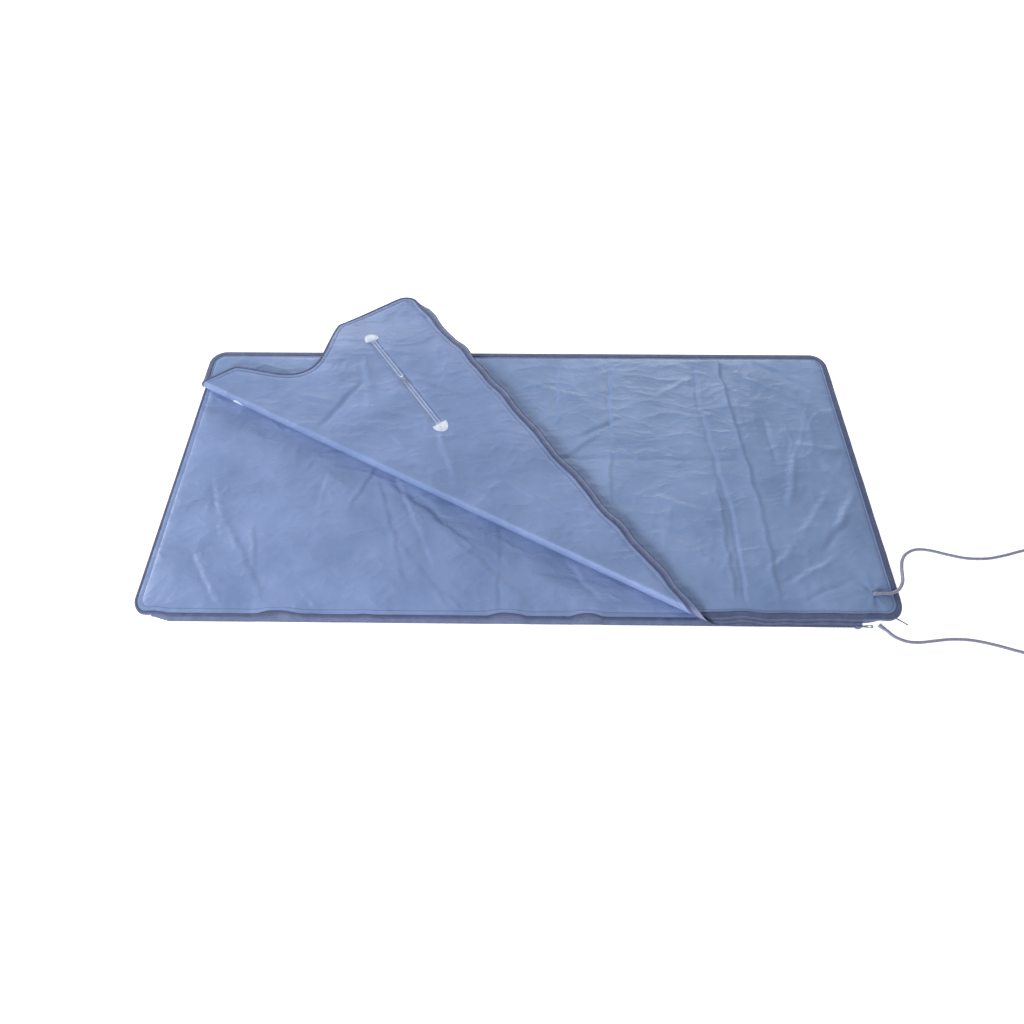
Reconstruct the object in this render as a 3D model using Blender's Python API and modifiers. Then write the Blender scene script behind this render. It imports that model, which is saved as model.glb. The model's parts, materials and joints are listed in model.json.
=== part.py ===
"""Infrared sauna blanket, lying flat with its near head corner turned back.

Frame: metres, +Z up, +X from the head edge to the foot edge, +Y from the near side to the
far side. The origin is the centre of the bottom panel's underside.

The cover is modelled flat, as it lies when the blanket is closed. Its near head corner is
then turned back over a straight fold line: what lies beyond the fold turns half a turn about
the fold's axis, and the strip between the two parts is wrapped round a half roll.
"""
import math

import bmesh
import bpy
from mathutils import Matrix, Vector

# Panels
LENGTH = 1.80                   # head edge to foot edge
WIDTH = 0.82                    # near edge to far edge
CORNER_RADIUS = 0.045
LEAST_CORNER_RADIUS = 0.008     # for outlines moved a long way in from the edge
PIECE_GAP = 0.0003              # clearance between touching pieces
CUTTER_REACH = 0.010            # how far a cutter goes past what it cuts
SHELL_THICKNESS = 0.0025        # outer nylon with its backing
WADDING_THICKNESS = 0.0032
CABLE_DIAMETER = 0.0030
FELT_THICKNESS = 0.0016         # heat-spreading felt under the lining
LINING_THICKNESS = 0.0025       # inner nylon with its backing
COVER_LIFT = 0.0030             # clearance between the bottom panel and the cover
FELT_MARGIN = 0.030             # felt's distance from the panel's edge

# Edge binding: a tape folded over the edge
BINDING_WIDTH = 0.018
BINDING_WALL = 0.0012
WADDING_MARGIN = BINDING_WALL + PIECE_GAP
SKIN_MARGIN = BINDING_WIDTH + PIECE_GAP

# Neck cut in the cover's head edge
NECK_HALF_WIDTH = 0.165
NECK_DEPTH = 0.130
NECK_ROUNDNESS = 1.3            # power of the cosine that shapes the cut
NECK_POINTS = 14

# Fold: where it meets the two edges, and how high it rolls
FOLD_ON_HEAD_EDGE = 0.683       # from the near edge
FOLD_ON_NEAR_EDGE = 1.317       # from the head edge
FOLD_CLEARANCE = 0.005          # between the cover and the part turned back over it
FOLD_STRIPS = 10
FOLD_BINDING_GAP = 0.0016       # more clearance beside the binding, where facets twist
FOLD_CUTTER_REACH = 0.002       # how far the binding's cutters go into the roll

# Heating cable
CABLE_ROWS = 10
CABLE_MARGIN = 0.080            # outer rows' distance from the side edges
CABLE_END_MARGIN = 0.075        # turns' distance from the head and foot edges
CABLE_FOLD_MARGIN = 0.060       # turns' distance from the fold
CABLE_SLIT_MARGIN = 0.022       # least distance from an arm slit's middle line
CABLE_CHAMFER = 0.014           # how a turn's corners are cut

# Side zip, on the near edge
ZIP_TAPE_WIDTH = 0.010
ZIP_TAPE_THICKNESS = 0.0010
ZIP_TEETH_WIDTH = 0.0030
ZIP_TEETH_HEIGHT = 0.0024
ZIP_HEAD_MARGIN = 0.050         # zip's distance from the head edge
ZIP_FOOT_MARGIN = 0.100         # zip's distance from the foot edge
SLIDER_LENGTH = 0.014
SLIDER_WIDTH = 0.0090
SLIDER_HEIGHT = 0.0070
SLIDER_CLEARANCE = 0.0006
SIDE_PULL_LENGTH = 0.036
SIDE_PULL_WIDTH = 0.006
PULL_THICKNESS = 0.0012
TAIL_LENGTH = 0.022             # loose end of the tape at the foot corner
TAIL_WIDTH = 0.0024
TAIL_TURN = math.radians(-40)
TAIL_CLEARANCE = 0.0008
JOINING_SKIP = 2                # corner points left free at the joining tape's ends

# Arm zips, in slits through the cover
ARM_SLIT_WIDTH = 0.0150
ARM_SLIT_FIRST = 0.145          # slit's ends, from the head edge
ARM_SLIT_LAST = 0.504
ARM_NEAR_INSET = 0.198          # near slit's distance from the near edge
ARM_FAR_INSET = 0.183           # far slit's distance from the far edge
ARM_TAPE_THICKNESS = 0.0012
ARM_TAPE_DEPTH = 0.0060         # below the lining's face
ARM_COIL_WIDTH = 0.0040
ARM_COIL_HEIGHT = 0.0014
ARM_SLIDER_LENGTH = 0.018
ARM_SLIDER_WIDTH = 0.0090
ARM_SLIDER_HEIGHT = 0.0034
ARM_NEAR_SLIDER_AT = 0.318      # sliders' places, from the head edge
ARM_FAR_SLIDER_AT = 0.420
ARM_PULL_LENGTH = 0.024
ARM_PULL_WIDTH = 0.0060
TAB_WIDTH = 0.042               # half-disc patch over each end of an arm zip
TAB_DEPTH = 0.032
TAB_THICKNESS = 0.0012
TAB_SPACING = 0.010             # its straight side's distance from the slit's end
TAB_POINTS = 12

# Sensors and cable joints, inside the panels
SENSOR_SIZE = (0.024, 0.012, 0.0024)
SENSOR_AT = (0.25, 0.03)
JOINT_SIZE = (0.040, 0.022, 0.0026)

# Cords. Places are measured outwards from the foot edge and inwards from the near edge.
CORD_DIAMETER = 0.0075
SLEEVE_LENGTH = 0.016
SLEEVE_BASE_RADIUS = 0.0052
SLEEVE_TIP_RADIUS = 0.0042
COIL_RADIUS = 0.041             # middle of the turns
COIL_HEIGHT = 0.0146
PLUG_RADIUS = 0.0068
PLUG_LENGTH = 0.040
PLUG_TIP_SHARE = 0.72           # of the plug's radius, and of its length up to the tip
PLUG_BASE_SHARE = 0.2           # of the plug's length, where it widens from the cord
PLUG_BASE_RADIUS = 0.00465
COVER_CORD_EXIT = (-0.062, 0.061)
BOTTOM_CORD_EXIT = (-0.054, -0.004)
COVER_COIL_AT = (0.445, 0.245)
BOTTOM_COIL_AT = (0.365, -0.030)
COVER_PLUG_TURN = math.radians(40)
BOTTOM_PLUG_TURN = math.radians(20)
# A route's third value is the share of the way up from the floor to the cord's exit.
COVER_CORD_ROUTE = [
    (-0.025, 0.062, 0.991), (-0.011, 0.067, 0.985), (0.002, 0.076, 0.972),
    (0.015, 0.094, 0.892), (0.025, 0.117, 0.661), (0.035, 0.140, 0.368),
    (0.048, 0.164, 0.122), (0.066, 0.183, 0.0), (0.092, 0.194, 0.0), (0.125, 0.192, 0.0),
    (0.165, 0.181, 0.0), (0.210, 0.171, 0.0), (0.260, 0.171, 0.0), (0.305, 0.180, 0.0),
    (0.345, 0.191, 0.0), (0.382, 0.1982, 0.0)]
BOTTOM_CORD_ROUTE = [
    (-0.028, -0.029, 0.0), (-0.013, -0.038, 0.0), (0.006, -0.0435, 0.0),
    (0.032, -0.044, 0.0), (0.065, -0.040, 0.0), (0.105, -0.036, 0.0),
    (0.150, -0.038, 0.0), (0.200, -0.049, 0.0), (0.250, -0.064, 0.0),
    (0.296, -0.073, 0.0)]
CORD_POINT_SPACING = 2.2 * CORD_DIAMETER

# Derived heights, in the closed blanket
PANEL_THICKNESS = (SHELL_THICKNESS + WADDING_THICKNESS + CABLE_DIAMETER + FELT_THICKNESS
                   + LINING_THICKNESS + 4 * PIECE_GAP)
COVER_BASE = PANEL_THICKNESS + COVER_LIFT
COVER_TOP = COVER_BASE + PANEL_THICKNESS
COVER_MIDDLE = COVER_BASE + PANEL_THICKNESS / 2
ON_FLOOR = CORD_DIAMETER / 2 + PIECE_GAP
SLEEVE_ON_FLOOR = SLEEVE_BASE_RADIUS + PIECE_GAP
SLEEVE_ON_COVER = COVER_TOP + SLEEVE_BASE_RADIUS + PIECE_GAP

# Derived places of the arm slits
NEAR_SLIT_Y = -WIDTH / 2 + ARM_NEAR_INSET
FAR_SLIT_Y = WIDTH / 2 - ARM_FAR_INSET

# Derived fold
ROLL_RADIUS = (PANEL_THICKNESS + FOLD_CLEARANCE) / 2
ROLL_LENGTH = math.pi * ROLL_RADIUS
FOLD_HEAD = Vector((-LENGTH / 2, -WIDTH / 2 + FOLD_ON_HEAD_EDGE, 0))
FOLD_NEAR = Vector((-LENGTH / 2 + FOLD_ON_NEAR_EDGE, -WIDTH / 2, 0))
FOLD_ALONG = (FOLD_NEAR - FOLD_HEAD).normalized()
FOLD_OUT = Vector((FOLD_ALONG.y, -FOLD_ALONG.x, 0))     # towards the near head corner
FOLD_AXIS_POINT = FOLD_HEAD + Vector((0, 0, COVER_MIDDLE + ROLL_RADIUS))
TURNED_BACK = (Matrix.Translation(FOLD_AXIS_POINT) @ Matrix.Rotation(math.pi, 4, FOLD_ALONG)
               @ Matrix.Translation(-FOLD_AXIS_POINT))

MATERIALS = {
    "outer nylon": ((0.235, 0.305, 0.520), 0.50, 0.0),
    "inner nylon": ((0.250, 0.330, 0.570), 0.45, 0.0),
    "wadding": ((0.80, 0.80, 0.78), 0.95, 0.0),
    "felt": ((0.12, 0.12, 0.13), 0.95, 0.0),
    "cable silicone": ((0.55, 0.08, 0.05), 0.50, 0.0),
    "binding": ((0.095, 0.120, 0.240), 0.70, 0.0),
    "zip tape": ((0.30, 0.38, 0.62), 0.75, 0.0),
    "zip teeth": ((0.060, 0.070, 0.130), 0.40, 0.0),
    "tab fabric": ((0.82, 0.87, 0.93), 0.70, 0.0),
    "slider metal": ((0.45, 0.46, 0.50), 0.35, 0.9),
    "sensor plastic": ((0.05, 0.05, 0.05), 0.45, 0.0),
    "cord rubber": ((0.27, 0.27, 0.39), 0.50, 0.0),
}


def clear_scene():
    for obj in list(bpy.data.objects):
        bpy.data.objects.remove(obj, do_unlink=True)


def new_collection(name):
    collection = bpy.data.collections.new(name)
    bpy.context.scene.collection.children.link(collection)
    return collection


def material(name):
    made = bpy.data.materials.get(name)
    if made:
        return made
    colour, roughness, metallic = MATERIALS[name]
    made = bpy.data.materials.new(name)
    made.use_nodes = True
    shader = made.node_tree.nodes["Principled BSDF"]
    shader.inputs["Base Color"].default_value = (*colour, 1.0)
    shader.inputs["Roughness"].default_value = roughness
    shader.inputs["Metallic"].default_value = metallic
    return made


def add_object(name, mesh, finish, collection):
    obj = bpy.data.objects.new(name, mesh)
    if finish:
        mesh.materials.append(material(finish))
    else:
        obj.hide_render = True
        obj.display_type = "WIRE"
    collection.objects.link(obj)
    return obj


# ---------------------------------------------------------------- outlines

def arc(centre, radius, first, last, steps):
    angles = [first + (last - first) * i / steps for i in range(steps + 1)]
    return [(centre[0] + radius * math.cos(a), centre[1] + radius * math.sin(a)) for a in angles]


def panel_outline(inset=0.0, neck=False):
    """The panel's edge, moved inwards by inset, with the cover's neck cut if asked."""
    half_x = LENGTH / 2 - inset
    half_y = WIDTH / 2 - inset
    radius = CORNER_RADIUS - inset
    steps = 5
    if radius < LEAST_CORNER_RADIUS:
        radius = LEAST_CORNER_RADIUS
        steps = 2
    points = []
    for corner, (sx, sy) in enumerate([(1, -1), (1, 1), (-1, 1), (-1, -1)]):
        centre = (sx * (half_x - radius), sy * (half_y - radius))
        first = -math.pi / 2 + corner * math.pi / 2
        points += arc(centre, radius, first, first + math.pi / 2, steps)
        if corner == 2 and neck:
            half = NECK_HALF_WIDTH + inset
            for i in range(NECK_POINTS + 1):
                y = half * (1 - 2 * i / NECK_POINTS)
                cut = max(0.0, math.cos(math.pi / 2 * y / half)) ** NECK_ROUNDNESS
                points.append((-half_x + NECK_DEPTH * cut, y))
    return points


def rectangle(x_first, x_last, y_first, y_last):
    return [(x_first, y_first), (x_last, y_first), (x_last, y_last), (x_first, y_last)]


def half_disc(edge_x, middle_y, direction):
    """A patch whose straight side is at edge_x and whose round side points along direction."""
    points = []
    for i in range(TAB_POINTS + 1):
        angle = -math.pi / 2 + math.pi * i / TAB_POINTS
        points.append((edge_x + direction * TAB_DEPTH * math.cos(angle),
                       middle_y + direction * TAB_WIDTH / 2 * math.sin(angle)))
    return points


# ---------------------------------------------------------------- fold

def past_fold(point):
    """Flat distance beyond the line where the fold begins, towards the near head corner."""
    return (Vector((point.x, point.y, 0)) - FOLD_HEAD).dot(FOLD_OUT) + ROLL_LENGTH / 2


def wrap(point):
    """Where a point of the flat cover lies once the corner is turned back."""
    distance = past_fold(point)
    if distance <= 0:
        return point
    if distance >= ROLL_LENGTH:
        return TURNED_BACK @ point
    angle = distance / ROLL_RADIUS
    radius = ROLL_RADIUS - (point.z - COVER_MIDDLE)
    start = point - FOLD_OUT * distance
    place = start + FOLD_OUT * (radius * math.sin(angle))
    place.z = COVER_MIDDLE + ROLL_RADIUS - radius * math.cos(angle)
    return place


def cut_sheet(sheet, distance, clear_inner=False, clear_outer=False):
    """Cut a flat sheet along a line parallel to the fold."""
    place = FOLD_HEAD + FOLD_OUT * (distance - ROLL_LENGTH / 2)
    bmesh.ops.bisect_plane(
        sheet, geom=sheet.verts[:] + sheet.edges[:] + sheet.faces[:], dist=1e-6,
        plane_co=place, plane_no=FOLD_OUT, clear_inner=clear_inner, clear_outer=clear_outer)


def layer(name, outline, low, high, finish, collection, zone="whole", reach=0.0):
    """A flat piece between two heights. zone says which part of the cover it belongs to.

    fixed: what stays on the bottom panel. flap: what is turned back. roll: the strip
    between them. wrapped: a piece that crosses the fold. reach lets a cutter go further.
    """
    sheet = bmesh.new()
    sheet.faces.new([sheet.verts.new((x, y, low)) for x, y in outline])
    if zone == "fixed":
        cut_sheet(sheet, reach - PIECE_GAP, clear_outer=True)
    if zone == "flap":
        cut_sheet(sheet, ROLL_LENGTH + PIECE_GAP - reach, clear_inner=True)
    if zone in ("roll", "wrapped"):
        for strip in range(FOLD_STRIPS + 1):
            at_start = strip == 0 and zone == "roll"
            at_end = strip == FOLD_STRIPS and zone == "roll"
            cut_sheet(sheet, ROLL_LENGTH * strip / FOLD_STRIPS, clear_inner=at_start,
                      clear_outer=at_end)
    lifted = bmesh.ops.extrude_face_region(sheet, geom=sheet.faces[:])["geom"]
    top = [item for item in lifted if isinstance(item, bmesh.types.BMVert)]
    bmesh.ops.translate(sheet, verts=top, vec=(0, 0, high - low))
    if zone in ("roll", "wrapped"):
        for vert in sheet.verts:
            vert.co = wrap(vert.co)
    if zone == "flap":
        bmesh.ops.transform(sheet, matrix=TURNED_BACK, verts=sheet.verts)
    bmesh.ops.recalc_face_normals(sheet, faces=sheet.faces)
    mesh = bpy.data.meshes.new(name)
    sheet.to_mesh(mesh)
    sheet.free()
    return add_object(name, mesh, finish, collection)


def cut(obj, *cutters):
    for cutter in cutters:
        modifier = obj.modifiers.new(cutter.name, "BOOLEAN")
        modifier.operation = "DIFFERENCE"
        modifier.object = cutter


# ---------------------------------------------------------------- small shapes

def extruded(name, outline, depth, place, finish, collection):
    """A flat outline as a 2D curve, extruded by depth and placed by a matrix."""
    curve = bpy.data.curves.new(name, "CURVE")
    curve.dimensions = "2D"
    curve.fill_mode = "BOTH"
    curve.extrude = depth / 2
    spline = curve.splines.new("POLY")
    spline.points.add(len(outline) - 1)
    for point, (x, y) in zip(spline.points, outline):
        point.co = (x, y, 0, 1)
    spline.use_cyclic_u = True
    obj = bpy.data.objects.new(name, curve)
    curve.materials.append(material(finish))
    collection.objects.link(obj)
    obj.matrix_world = place
    return obj


def box(name, centre, size, finish, collection, turned_back=False):
    bpy.ops.mesh.primitive_cube_add(size=1.0)
    obj = bpy.context.object
    obj.name = name
    for owner in list(obj.users_collection):
        owner.objects.unlink(obj)
    collection.objects.link(obj)
    place = Matrix.Translation(centre) @ Matrix.Diagonal((*size, 1.0))
    obj.data.transform(TURNED_BACK @ place if turned_back else place)
    obj.data.materials.append(material(finish))
    return obj


def tube(name, points, diameter, sides, finish, collection):
    """A round cord or cable along a list of points."""
    curve = bpy.data.curves.new(name, "CURVE")
    curve.dimensions = "3D"
    curve.bevel_depth = diameter / 2
    curve.bevel_resolution = sides // 2 - 2
    curve.use_fill_caps = True
    spline = curve.splines.new("POLY")
    spline.points.add(len(points) - 1)
    for spot, point in zip(spline.points, points):
        spot.co = (*point, 1)
    obj = bpy.data.objects.new(name, curve)
    curve.materials.append(material(finish))
    collection.objects.link(obj)
    return obj


def turned(name, profile, place, finish, collection, steps=20):
    """A profile of (radius, height) points, top to bottom, turned about its own Z axis."""
    mesh = bpy.data.meshes.new(name)
    mesh.from_pydata([(r, 0, z) for r, z in profile],
                     [(i, i + 1) for i in range(len(profile) - 1)], [])
    obj = add_object(name, mesh, finish, collection)
    screw = obj.modifiers.new("Screw", "SCREW")
    screw.steps = steps
    screw.render_steps = steps
    screw.use_merge_vertices = True
    screw.merge_threshold = 0.00005
    obj.matrix_world = place
    return obj


def towards(start, direction):
    """A matrix that puts a shape's own +Z along direction, at start."""
    turn = Vector(direction).normalized().to_track_quat("Z", "Y")
    return Matrix.Translation(start) @ turn.to_matrix().to_4x4()


# ---------------------------------------------------------------- panels

def panel_layers(prefix, zone, collection, neck, slits=()):
    """Shell, wadding, felt, lining and binding of the bottom panel or a part of the cover."""
    is_bottom = prefix == "bottom"
    base = 0.0 if is_bottom else COVER_BASE
    layers = [("shell", SHELL_THICKNESS, SKIN_MARGIN, "outer nylon"),
              ("wadding", WADDING_THICKNESS, WADDING_MARGIN, "wadding"),
              (None, CABLE_DIAMETER, 0.0, None),
              ("felt", FELT_THICKNESS, FELT_MARGIN, "felt"),
              ("lining", LINING_THICKNESS, SKIN_MARGIN, "inner nylon")]
    height = base
    for part, thickness, margin, finish in layers if is_bottom else reversed(layers):
        if part:
            piece = layer(f"{prefix}_{part}", panel_outline(margin, neck), height,
                          height + thickness, finish, collection, zone)
            cut(piece, *slits)
        height += thickness + PIECE_GAP


def panel_binding(prefix, zone, collection, cutters, neck):
    """The tape folded over the panel's edge: a wall and two legs, open inwards."""
    base = 0.0 if prefix == "bottom" else COVER_BASE
    top = base + PANEL_THICKNESS
    tape = layer(f"{prefix}_binding", panel_outline(0.0, neck), base, top, "binding",
                 collection, zone)
    inside = layer(f"{prefix}_binding_inside", panel_outline(BINDING_WIDTH, neck),
                   base - CUTTER_REACH, top + CUTTER_REACH, None, cutters, zone,
                   FOLD_CUTTER_REACH)
    groove = layer(f"{prefix}_binding_groove", panel_outline(BINDING_WALL, neck),
                   base + BINDING_WALL, top - BINDING_WALL, None, cutters, zone,
                   FOLD_CUTTER_REACH)
    cut(tape, inside, groove)


def cable_points(rows, height, slit=None):
    """A run back and forth along rows of (y, first x, last x), with its corners cut.

    Where the two rows beside a slit would turn at their first end, across the slit, the
    whole run starts from the other end instead.
    """
    turns = [i for i, row in enumerate(rows[:-1]) if slit and row[0] < slit < rows[i + 1][0]]
    flip = 1 if turns and turns[0] % 2 else 0
    points = []
    for index, (y, first, last) in enumerate(rows):
        start, end = (first, last) if index % 2 == flip else (last, first)
        step = CABLE_CHAMFER if end > start else -CABLE_CHAMFER
        if index:
            points.append((start, y - CABLE_CHAMFER, height))
            points.append((start + step, y, height))
        else:
            points.append((start, y, height))
        if index < len(rows) - 1:
            points.append((end - step, y, height))
            points.append((end, y + CABLE_CHAMFER, height))
        else:
            points.append((end, y, height))
    return points


def cable_rows():
    """Even rows across the panel, where one that would meet an arm slit moves aside."""
    span = WIDTH - 2 * CABLE_MARGIN
    rows = []
    for i in range(CABLE_ROWS):
        y = -WIDTH / 2 + CABLE_MARGIN + span * i / (CABLE_ROWS - 1)
        for slit in (NEAR_SLIT_Y, FAR_SLIT_Y):
            if abs(y - slit) < CABLE_SLIT_MARGIN:
                y = slit + math.copysign(CABLE_SLIT_MARGIN, y - slit)
        rows.append(y)
    return rows


def fold_x(y, distance):
    """The x at which a line parallel to the fold, distance past its middle, meets a row."""
    return FOLD_HEAD.x + (distance - (y - FOLD_HEAD.y) * FOLD_OUT.y) / FOLD_OUT.x


def heating_cables(collection):
    head = -LENGTH / 2 + CABLE_END_MARGIN
    foot = LENGTH / 2 - CABLE_END_MARGIN
    level = SHELL_THICKNESS + WADDING_THICKNESS + 2 * PIECE_GAP + CABLE_DIAMETER / 2
    rows = [(y, head, foot) for y in cable_rows()]
    tube("bottom_heating_cable", cable_points(rows, level), CABLE_DIAMETER, 6,
         "cable silicone", collection)
    level = COVER_TOP - level
    rows = [(y, max(head, fold_x(y, -CABLE_FOLD_MARGIN)), foot) for y in cable_rows()]
    tube("cover_heating_cable", cable_points(rows, level, FAR_SLIT_Y), CABLE_DIAMETER, 6,
         "cable silicone", collection)
    rows = []
    for y in cable_rows():
        first = head
        if abs(y) < NECK_HALF_WIDTH + CABLE_END_MARGIN:
            first = head + NECK_DEPTH
        last = fold_x(y, CABLE_FOLD_MARGIN)
        if last - first > 3 * CABLE_CHAMFER:
            rows.append((y, first, last))
    run = cable_points(rows, level, NEAR_SLIT_Y)
    points = [TURNED_BACK @ Vector(point) for point in run]
    tube("flap_heating_cable", points, CABLE_DIAMETER, 6, "cable silicone", collection)


def sensors(collection):
    """A temperature sensor and the cord's cable joint in each panel, between cable rows."""
    rows = cable_rows()
    between = (rows[CABLE_ROWS // 2 - 1] + rows[CABLE_ROWS // 2]) / 2
    bottom_level = SHELL_THICKNESS + WADDING_THICKNESS + 2 * PIECE_GAP + CABLE_DIAMETER / 2
    joint_row = (rows[0] + rows[1]) / 2
    joint_x = LENGTH / 2 - CABLE_END_MARGIN - JOINT_SIZE[0]
    for prefix, level in (("bottom", bottom_level), ("cover", COVER_TOP - bottom_level)):
        box(f"{prefix}_temperature_sensor", (SENSOR_AT[0], between + SENSOR_AT[1] / 2, level),
            SENSOR_SIZE, "sensor plastic", collection)
        box(f"{prefix}_cable_joint", (joint_x, joint_row, level), JOINT_SIZE,
            "sensor plastic", collection)


# ---------------------------------------------------------------- zips

def side_zip(collection):
    """Tape and teeth along the near edge of the bottom panel and of the cover's parts."""
    edge = -WIDTH / 2 - PIECE_GAP
    tape_end = edge - ZIP_TAPE_WIDTH
    teeth_start = tape_end - PIECE_GAP
    first = -LENGTH / 2 + ZIP_HEAD_MARGIN
    last = LENGTH / 2 - ZIP_FOOT_MARGIN
    tape = rectangle(first, last, tape_end, edge)
    teeth = rectangle(first, last, teeth_start - ZIP_TEETH_WIDTH, teeth_start)
    for prefix, zone in (("bottom", "whole"), ("cover", "fixed"), ("flap", "flap")):
        level = zip_level(prefix)
        layer(f"{prefix}_zip_tape", tape, level - ZIP_TAPE_THICKNESS / 2,
              level + ZIP_TAPE_THICKNESS / 2, "zip tape", collection, zone)
        layer(f"{prefix}_zip_teeth", teeth, level - ZIP_TEETH_HEIGHT / 2,
              level + ZIP_TEETH_HEIGHT / 2, "zip teeth", collection, zone)
    level = zip_level("fold")
    both = rectangle(first, last, teeth_start - ZIP_TEETH_WIDTH,
                     -WIDTH / 2 - FOLD_BINDING_GAP)
    layer("fold_zip_tape", both, level - ZIP_TAPE_THICKNESS / 2,
          level + ZIP_TAPE_THICKNESS / 2, "zip tape", collection, "roll")


def zip_level(prefix):
    if prefix == "bottom":
        return PANEL_THICKNESS * 3 / 4
    return COVER_BASE + PANEL_THICKNESS / 4


def side_slider(collection):
    """A clamp open towards the panel, round the teeth, and the pull on top of it."""
    teeth_outer = -WIDTH / 2 - ZIP_TAPE_WIDTH - 2 * PIECE_GAP - ZIP_TEETH_WIDTH
    wall = (SLIDER_HEIGHT - ZIP_TEETH_HEIGHT - 2 * SLIDER_CLEARANCE) / 2
    outer = teeth_outer - SLIDER_CLEARANCE - wall
    inner = outer + SLIDER_WIDTH
    room = ZIP_TEETH_HEIGHT / 2 + SLIDER_CLEARANCE
    mouth = ZIP_TAPE_THICKNESS / 2 + SLIDER_CLEARANCE
    lip = teeth_outer + ZIP_TEETH_WIDTH + SLIDER_CLEARANCE
    half = SLIDER_HEIGHT / 2
    outline = [(outer, -half), (inner, -half), (inner, -mouth), (lip, -mouth), (lip, -room),
               (outer + wall, -room), (outer + wall, room), (lip, room), (lip, mouth),
               (inner, mouth), (inner, half), (outer, half)]
    level = zip_level("bottom")
    start = LENGTH / 2 - ZIP_FOOT_MARGIN - SLIDER_LENGTH / 2
    # The outline's x runs along the object's y, and its y along the object's z.
    place = Matrix(((0, 0, 1, start), (1, 0, 0, 0), (0, 1, 0, level), (0, 0, 0, 1)))
    extruded("side_zip_slider", outline, SLIDER_LENGTH, place, "slider metal", collection)
    eye = SIDE_PULL_WIDTH / 2
    pull = arc((0, 0), eye, math.pi / 2, math.pi * 3 / 2, 6)
    pull += arc((SIDE_PULL_LENGTH - 2 * eye, 0), eye, -math.pi / 2, math.pi / 2, 6)
    top = level + half + PIECE_GAP + PULL_THICKNESS / 2
    place = Matrix.Translation((start, (outer + inner) / 2, top))
    extruded("side_zip_pull", pull, PULL_THICKNESS, place, "slider metal", collection)


def side_joining(collection):
    """The tape that joins the cover to the bottom panel along the far and foot edges."""
    inner = panel_outline(-PIECE_GAP)
    outer = panel_outline(-PIECE_GAP - BINDING_WALL)
    # The outline's last quarter is the near head corner, which the tape doesn't reach.
    last = len(inner) * 3 // 4 - JOINING_SKIP
    outline = inner[JOINING_SKIP:last] + outer[JOINING_SKIP:last][::-1]
    layer("side_joining_tape", outline, PANEL_THICKNESS / 3,
          COVER_TOP - PANEL_THICKNESS / 3, "binding", collection)


def fold_pieces(collection):
    """The strip of cover that goes round the fold."""
    skin = panel_outline(SKIN_MARGIN, True)
    edge_x = -LENGTH / 2
    edge_y = -WIDTH / 2
    lining_top = COVER_BASE + LINING_THICKNESS
    shell_base = COVER_TOP - SHELL_THICKNESS
    layer("fold_lining", skin, COVER_BASE, lining_top, "inner nylon", collection, "roll")
    layer("fold_wadding", skin, lining_top + PIECE_GAP, shell_base - PIECE_GAP, "wadding",
          collection, "roll")
    layer("fold_shell", skin, shell_base, COVER_TOP, "outer nylon", collection, "roll")
    width = BINDING_WIDTH - FOLD_BINDING_GAP
    layer("fold_binding_head", rectangle(edge_x, edge_x + width, 0, WIDTH / 2),
          COVER_BASE, COVER_TOP, "binding", collection, "roll")
    layer("fold_binding_near", rectangle(0, LENGTH / 2, edge_y, edge_y + width),
          COVER_BASE, COVER_TOP, "binding", collection, "roll")


def arm_slit(y, margin=0.0):
    first = -LENGTH / 2 + ARM_SLIT_FIRST
    last = -LENGTH / 2 + ARM_SLIT_LAST
    half = ARM_SLIT_WIDTH / 2
    return rectangle(first + margin, last - margin, y - half + margin, y + half - margin)


def arm_zip(side, zone, y, slider_at, collection):
    """Tape, coil, end patches, slider and pull of one arm opening."""
    flap = zone == "flap"
    tape_low = COVER_BASE + ARM_TAPE_DEPTH
    layer(f"{side}_arm_zip_tape", arm_slit(y, PIECE_GAP), tape_low,
          tape_low + ARM_TAPE_THICKNESS, "zip tape", collection, zone)
    first = -LENGTH / 2 + ARM_SLIT_FIRST
    last = -LENGTH / 2 + ARM_SLIT_LAST
    coil_top = tape_low - PIECE_GAP
    coil_low = coil_top - ARM_COIL_HEIGHT
    coil = rectangle(first + PIECE_GAP, last - PIECE_GAP, y - ARM_COIL_WIDTH / 2,
                     y + ARM_COIL_WIDTH / 2)
    layer(f"{side}_arm_zip_coil", coil, coil_low, coil_top, "zip teeth", collection, zone)
    tab_top = COVER_BASE - PIECE_GAP
    for end, edge_x, direction in (("head", first - TAB_SPACING, -1),
                                   ("foot", last + TAB_SPACING, 1)):
        crosses = end == "head" and not flap
        layer(f"{side}_arm_tab_{end}", half_disc(edge_x, y, direction),
              tab_top - TAB_THICKNESS, tab_top, "tab fabric", collection,
              "wrapped" if crosses else zone)
    slider_x = -LENGTH / 2 + slider_at
    room = ARM_COIL_WIDTH / 2 + SLIDER_CLEARANCE
    half = ARM_SLIDER_WIDTH / 2
    high = tape_low - PIECE_GAP
    low = high - ARM_SLIDER_HEIGHT
    ceiling = coil_low - SLIDER_CLEARANCE
    outline = [(-half, low), (half, low), (half, high), (room, high), (room, ceiling),
               (-room, ceiling), (-room, high), (-half, high)]
    place = Matrix(((0, 0, 1, slider_x), (1, 0, 0, y), (0, 1, 0, 0), (0, 0, 0, 1)))
    if flap:
        place = TURNED_BACK @ place
    extruded(f"{side}_arm_slider", outline, ARM_SLIDER_LENGTH, place, "slider metal",
             collection)
    if flap:
        pull_middle = low - PIECE_GAP - PULL_THICKNESS / 2
        box(f"{side}_arm_pull", (slider_x + ARM_PULL_LENGTH / 2, y, pull_middle),
            (ARM_PULL_LENGTH, ARM_PULL_WIDTH, PULL_THICKNESS), "slider metal", collection,
            turned_back=True)


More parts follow.
